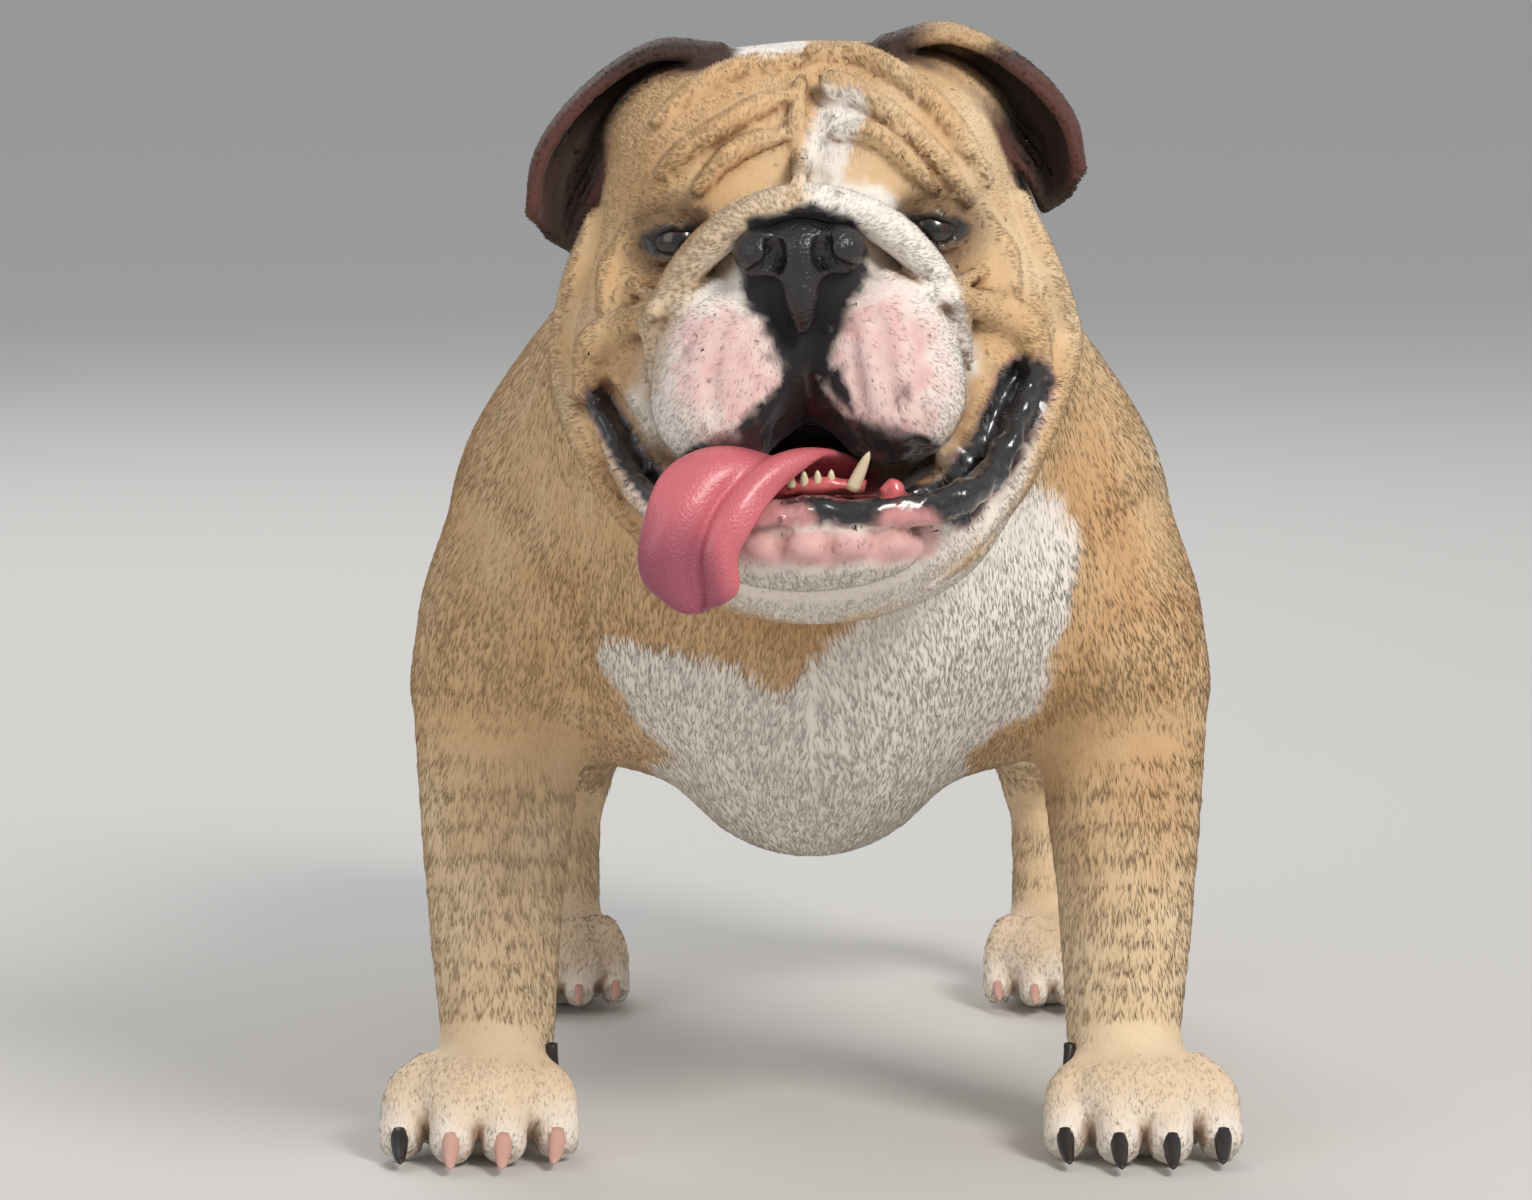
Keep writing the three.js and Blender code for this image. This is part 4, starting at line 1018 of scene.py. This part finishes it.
FORECLAW, HINDCLAW, DEWCLAW = 21, 13, 12  # lengths
CLAW_ROOM = 0.6  # claws stay this far above the floor
claw_parts = {"dark": [], "pale": []}
for side in (1, -1):
    for i, claw in enumerate(paw_claws(FOREPAW_X[side], *FOREPAW, FORECLAW)):
        claw_parts["pale" if side < 0 and i > 0 else "dark"].append(claw)
    claw_parts["dark"].append(bent_cone((side * 107, -129, 42), DEWCLAW, 2.4, (150, 0, side * 30), bend=-0.9))
    claw_parts["pale"] += paw_claws(HINDPAW_X[side], *HINDPAW, HINDCLAW)
claws = {}
for kind, parts in claw_parts.items():
    points, faces = joined(parts)
    points[:, 2] = np.maximum(points[:, 2], CLAW_ROOM)
    claws[kind] = piece("claws_" + kind, to_metres(points), faces)

# %% [markdown]
# Materials are procedural. Short fur that lies flat is bump drawn out along the body, broken by fine variation of
# colour, and it fades where the skin is bare or wet.

# %% Shared node groups
def feed(tree, node, inputs):
    """Each input of a node given a value, or linked where an output is given."""
    for socket, value in inputs.items():
        if isinstance(value, bpy.types.NodeSocket):
            tree.links.new(value, node.inputs[socket])
        else:
            node.inputs[socket].default_value = value


def add(tree, kind, inputs=(), **settings):
    """A node of some kind with its settings and inputs."""
    node = tree.nodes.new("ShaderNode" + kind)
    for name, value in settings.items():
        setattr(node, name, value)
    feed(tree, node, dict(inputs))
    return node


def new_group(name, given, returned):
    """An empty node group with named sockets, and its input and output nodes."""
    tree = bpy.data.node_groups.new(name, "ShaderNodeTree")
    for way, sockets in (("INPUT", given), ("OUTPUT", returned)):
        for socket, kind in sockets.items():
            tree.interface.new_socket(socket, in_out=way, socket_type="NodeSocket" + kind)
    return tree, tree.nodes.new("NodeGroupInput").outputs, tree.nodes.new("NodeGroupOutput")


def fur_group():
    """Colour and bump of a short coat from the painted colour."""
    tree, given, returned = new_group("Short fur", {"Colour": "Color", "Bareness": "Float"},
                                      {"Colour": "Color", "Height": "Float"})
    place = add(tree, "TexCoord").outputs["Object"]
    drawn_out = add(tree, "Mapping", {"Vector": place, "Scale": (900, 260, 260)}).outputs["Vector"]
    hairs = add(tree, "TexNoise", {"Vector": drawn_out, "Scale": 1, "Detail": 3}).outputs["Fac"]
    mottle = add(tree, "TexNoise", {"Vector": place, "Scale": 120, "Detail": 4}).outputs["Fac"]
    both = add(tree, "Math", {0: hairs, 1: mottle}, operation="ADD").outputs[0]
    bright = add(tree, "MapRange", {"Value": both, "From Min": 0.6, "From Max": 1.4, "To Min": 0.95,
                                    "To Max": 1.05}).outputs[0]
    tint = add(tree, "Mix", {"Factor": 1, "A": given["Colour"], "B": bright}, data_type="RGBA", blend_type="MULTIPLY")
    hairy = add(tree, "Math", {0: 1, 1: given["Bareness"]}, operation="SUBTRACT").outputs[0]
    height = add(tree, "Math", {0: hairs, 1: hairy}, operation="MULTIPLY").outputs[0]
    feed(tree, returned, {"Colour": tint.outputs["Result"], "Height": height})
    return tree


def pores_group():
    """Height of fine pebbles or pores, at a scale that is set."""
    tree, given, returned = new_group("Pores", {"Scale": "Float"}, {"Height": "Float"})
    place = add(tree, "TexCoord").outputs["Object"]
    cells = add(tree, "TexVoronoi", {"Vector": place, "Scale": given["Scale"]}, feature="SMOOTH_F1")
    feed(tree, returned, {"Height": cells.outputs["Distance"]})
    return tree


FUR, PORES = fur_group(), pores_group()


# %% Materials
def material(name, colour=(0.8, 0.8, 0.8), roughness=0.6, **values):
    """A material with its plain values set, its tree, and its main shader."""
    made = bpy.data.materials.new(name)
    made.use_nodes = True
    shader = made.node_tree.nodes["Principled BSDF"]
    plain = {"Base Color": (*colour, 1), "Roughness": roughness}
    plain.update({socket.replace("_", " "): value for socket, value in values.items()})
    feed(made.node_tree, shader, plain)
    return made, made.node_tree, shader


def read(tree, name):
    return add(tree, "Attribute", attribute_name=name).outputs


def ranged(tree, value, low, high):
    return add(tree, "MapRange", {"Value": value, "To Min": low, "To Max": high}).outputs[0]


def pores(tree, scale):
    return add(tree, "Group", {"Scale": scale}, node_tree=PORES).outputs["Height"]


def bump(tree, height, distance, strength):
    return add(tree, "Bump", {"Height": height, "Distance": distance, "Strength": strength}).outputs["Normal"]


skin_material, tree, shader = material("Coat and skin", Sheen_Weight=0.12, Specular_IOR_Level=0.35,
                                       Coat_Roughness=0.16)
fur = add(tree, "Group", {"Colour": read(tree, "coat")["Color"], "Bareness": read(tree, "bare")["Fac"]},
          node_tree=FUR).outputs
wet = read(tree, "wet")["Fac"]
relief = add(tree, "Math", {0: pores(tree, 700), 1: 0.35, 2: fur["Height"]}, operation="MULTIPLY_ADD").outputs[0]
feed(tree, shader, {"Base Color": fur["Colour"], "Roughness": ranged(tree, wet, 0.72, 0.26),
                    "Coat Weight": ranged(tree, wet, 0, 0.8), "Normal": bump(tree, relief, 0.0006, 0.5)})

tuft_material, tree, shader = material("Tufts", roughness=0.62, Specular_IOR_Level=0.3)
own_normal = add(tree, "NewGeometry").outputs["Normal"]
mixed = add(tree, "Mix", {"Factor": 0.8, "A": own_normal, "B": read(tree, "skin_normal")["Vector"]},
            data_type="VECTOR").outputs["Result"]
unit = add(tree, "VectorMath", {0: mixed}, operation="NORMALIZE").outputs["Vector"]
feed(tree, shader, {"Base Color": read(tree, "coat")["Color"], "Normal": unit})

nose_material, tree, shader = material("Nose leather", shade(34, 31, 33), 0.36, Coat_Weight=0.25, Coat_Roughness=0.3)
feed(tree, shader, {"Normal": bump(tree, pores(tree, 620), 0.0009, 0.8)})

tongue_material, tree, shader = material("Tongue", roughness=0.42, Subsurface_Weight=0.1, Coat_Weight=0.3,
                                         Coat_Roughness=0.22, Subsurface_Radius=(0.008, 0.003, 0.002))
tint = add(tree, "Mix", {"Factor": read(tree, "mauve")["Fac"], "A": (*shade(204, 104, 112), 1),
                         "B": (*shade(150, 70, 90), 1)}, data_type="RGBA")
feed(tree, shader, {"Base Color": tint.outputs["Result"], "Normal": bump(tree, pores(tree, 900), 0.0006, 0.6)})

eye_material, tree, shader = material("Eye", roughness=0.25, Coat_Weight=0.6, Coat_Roughness=0.02)
outward = add(tree, "MapRange", {"Value": read(tree, "gaze")["Fac"], "From Max": EYE_RADIUS}).outputs[0]
rings = add(tree, "ValToRGB", {"Fac": outward})
RING_COLOURS = [(0.0, (4, 4, 5)), (0.3, (5, 5, 6)), (0.36, (40, 22, 12)), (0.6, (48, 27, 15)), (0.7, (12, 8, 7)),
                (0.82, (58, 40, 36)), (1.0, (104, 78, 70))]
for at, rgb in RING_COLOURS:
    stop = rings.color_ramp.elements.new(at) if 0 < at < 1 else rings.color_ramp.elements[0 if at == 0 else -1]
    stop.color = (*shade(*rgb), 1)
feed(tree, shader, {"Base Color": rings.outputs["Color"]})

tooth_material = material("Teeth", shade(222, 206, 170), 0.3, Coat_Weight=0.5)[0]
claw_dark = material("Dark claws", shade(38, 34, 34), 0.38)[0]
claw_pale = material("Pale claws", shade(206, 160, 146), 0.38)[0]
floor_material = material("Floor", shade(206, 204, 200), 0.8)[0]

# %% Give each piece its material and its slot, hang it on the root, and hide the solids it stands for
PAWS = ["forepaw_left", "forepaw_right", "hindpaw_left", "hindpaw_right"]
FLESH = ["head", "lower_jaw", "neck", "torso", "tail", "ear_left", "ear_right", "foreleg_left", "foreleg_right",
         "hindleg_left", "hindleg_right"] + PAWS


def finish_piece(obj, look, nodes):
    obj.data.materials.clear()
    obj.data.materials.append(look)
    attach(obj, "root")
    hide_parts(*nodes)


finish_piece(skin, skin_material, FLESH)
for tufts in coat_pieces:
    finish_piece(tufts, tuft_material, FLESH)
finish_piece(nose, nose_material, ["nose"])
finish_piece(tongue, tongue_material, ["tongue"])
finish_piece(eyes[1], eye_material, ["eye_left"])
finish_piece(eyes[-1], eye_material, ["eye_right"])
finish_piece(teeth, tooth_material, ["lower_jaw"])
finish_piece(claws["dark"], claw_dark, PAWS)
finish_piece(claws["pale"], claw_pale, PAWS)

# %% [markdown]
# The camera stands about three metres off at a seated person's height and looks a little down through a long lens,
# which gives the photo's framing. A plain pale floor and three large soft lamps light the dog.

# %% Camera, floor and lamps
CAMERA_PLACE = (-0.0185, -3.0967, 0.584)
CAMERA_DIP = 6.84  # degrees below level
camera = placed("camera", bpy.data.cameras.new("camera"))
camera.location = CAMERA_PLACE
camera.rotation_euler = (math.radians(90 - CAMERA_DIP), 0, 0)
camera.data.lens = 171.5
camera.data.sensor_width = 36
camera.data.clip_end = 40
bpy.context.scene.camera = camera

floor_shape = bmesh.new()
bmesh.ops.create_grid(floor_shape, x_segments=1, y_segments=1, size=30)
floor_mesh = bpy.data.meshes.new("floor")
floor_shape.to_mesh(floor_mesh)
floor_shape.free()
floor_mesh.materials.append(floor_material)
floor = placed("floor", floor_mesh)


def lamp(name, place, aim, size, power, colour=(1, 1, 1)):
    made = placed(name, bpy.data.lights.new(name, "AREA"))
    made.location = place
    made.rotation_euler = (Vector(aim) - Vector(place)).to_track_quat("-Z", "Y").to_euler()
    made.data.size = size
    made.data.energy = power
    made.data.color = colour


lamp("key", (1.6, -2.2, 2.4), (0, 0, 0.25), 1.0, 75, (1, 0.97, 0.93))
lamp("fill", (-2.4, -1.8, 1.4), (0, 0, 0.25), 2.0, 16, (1, 0.98, 0.96))
lamp("rim", (-0.6, 2.4, 2.2), (0, 0, 0.3), 1.4, 30)
world = bpy.data.worlds.new("studio")
bpy.context.scene.world = world
world.use_nodes = True
world.node_tree.nodes["Background"].inputs["Color"].default_value = (0.94, 0.96, 1, 1)
world.node_tree.nodes["Background"].inputs["Strength"].default_value = 0.5
bpy.context.scene.view_settings.view_transform = "Standard"
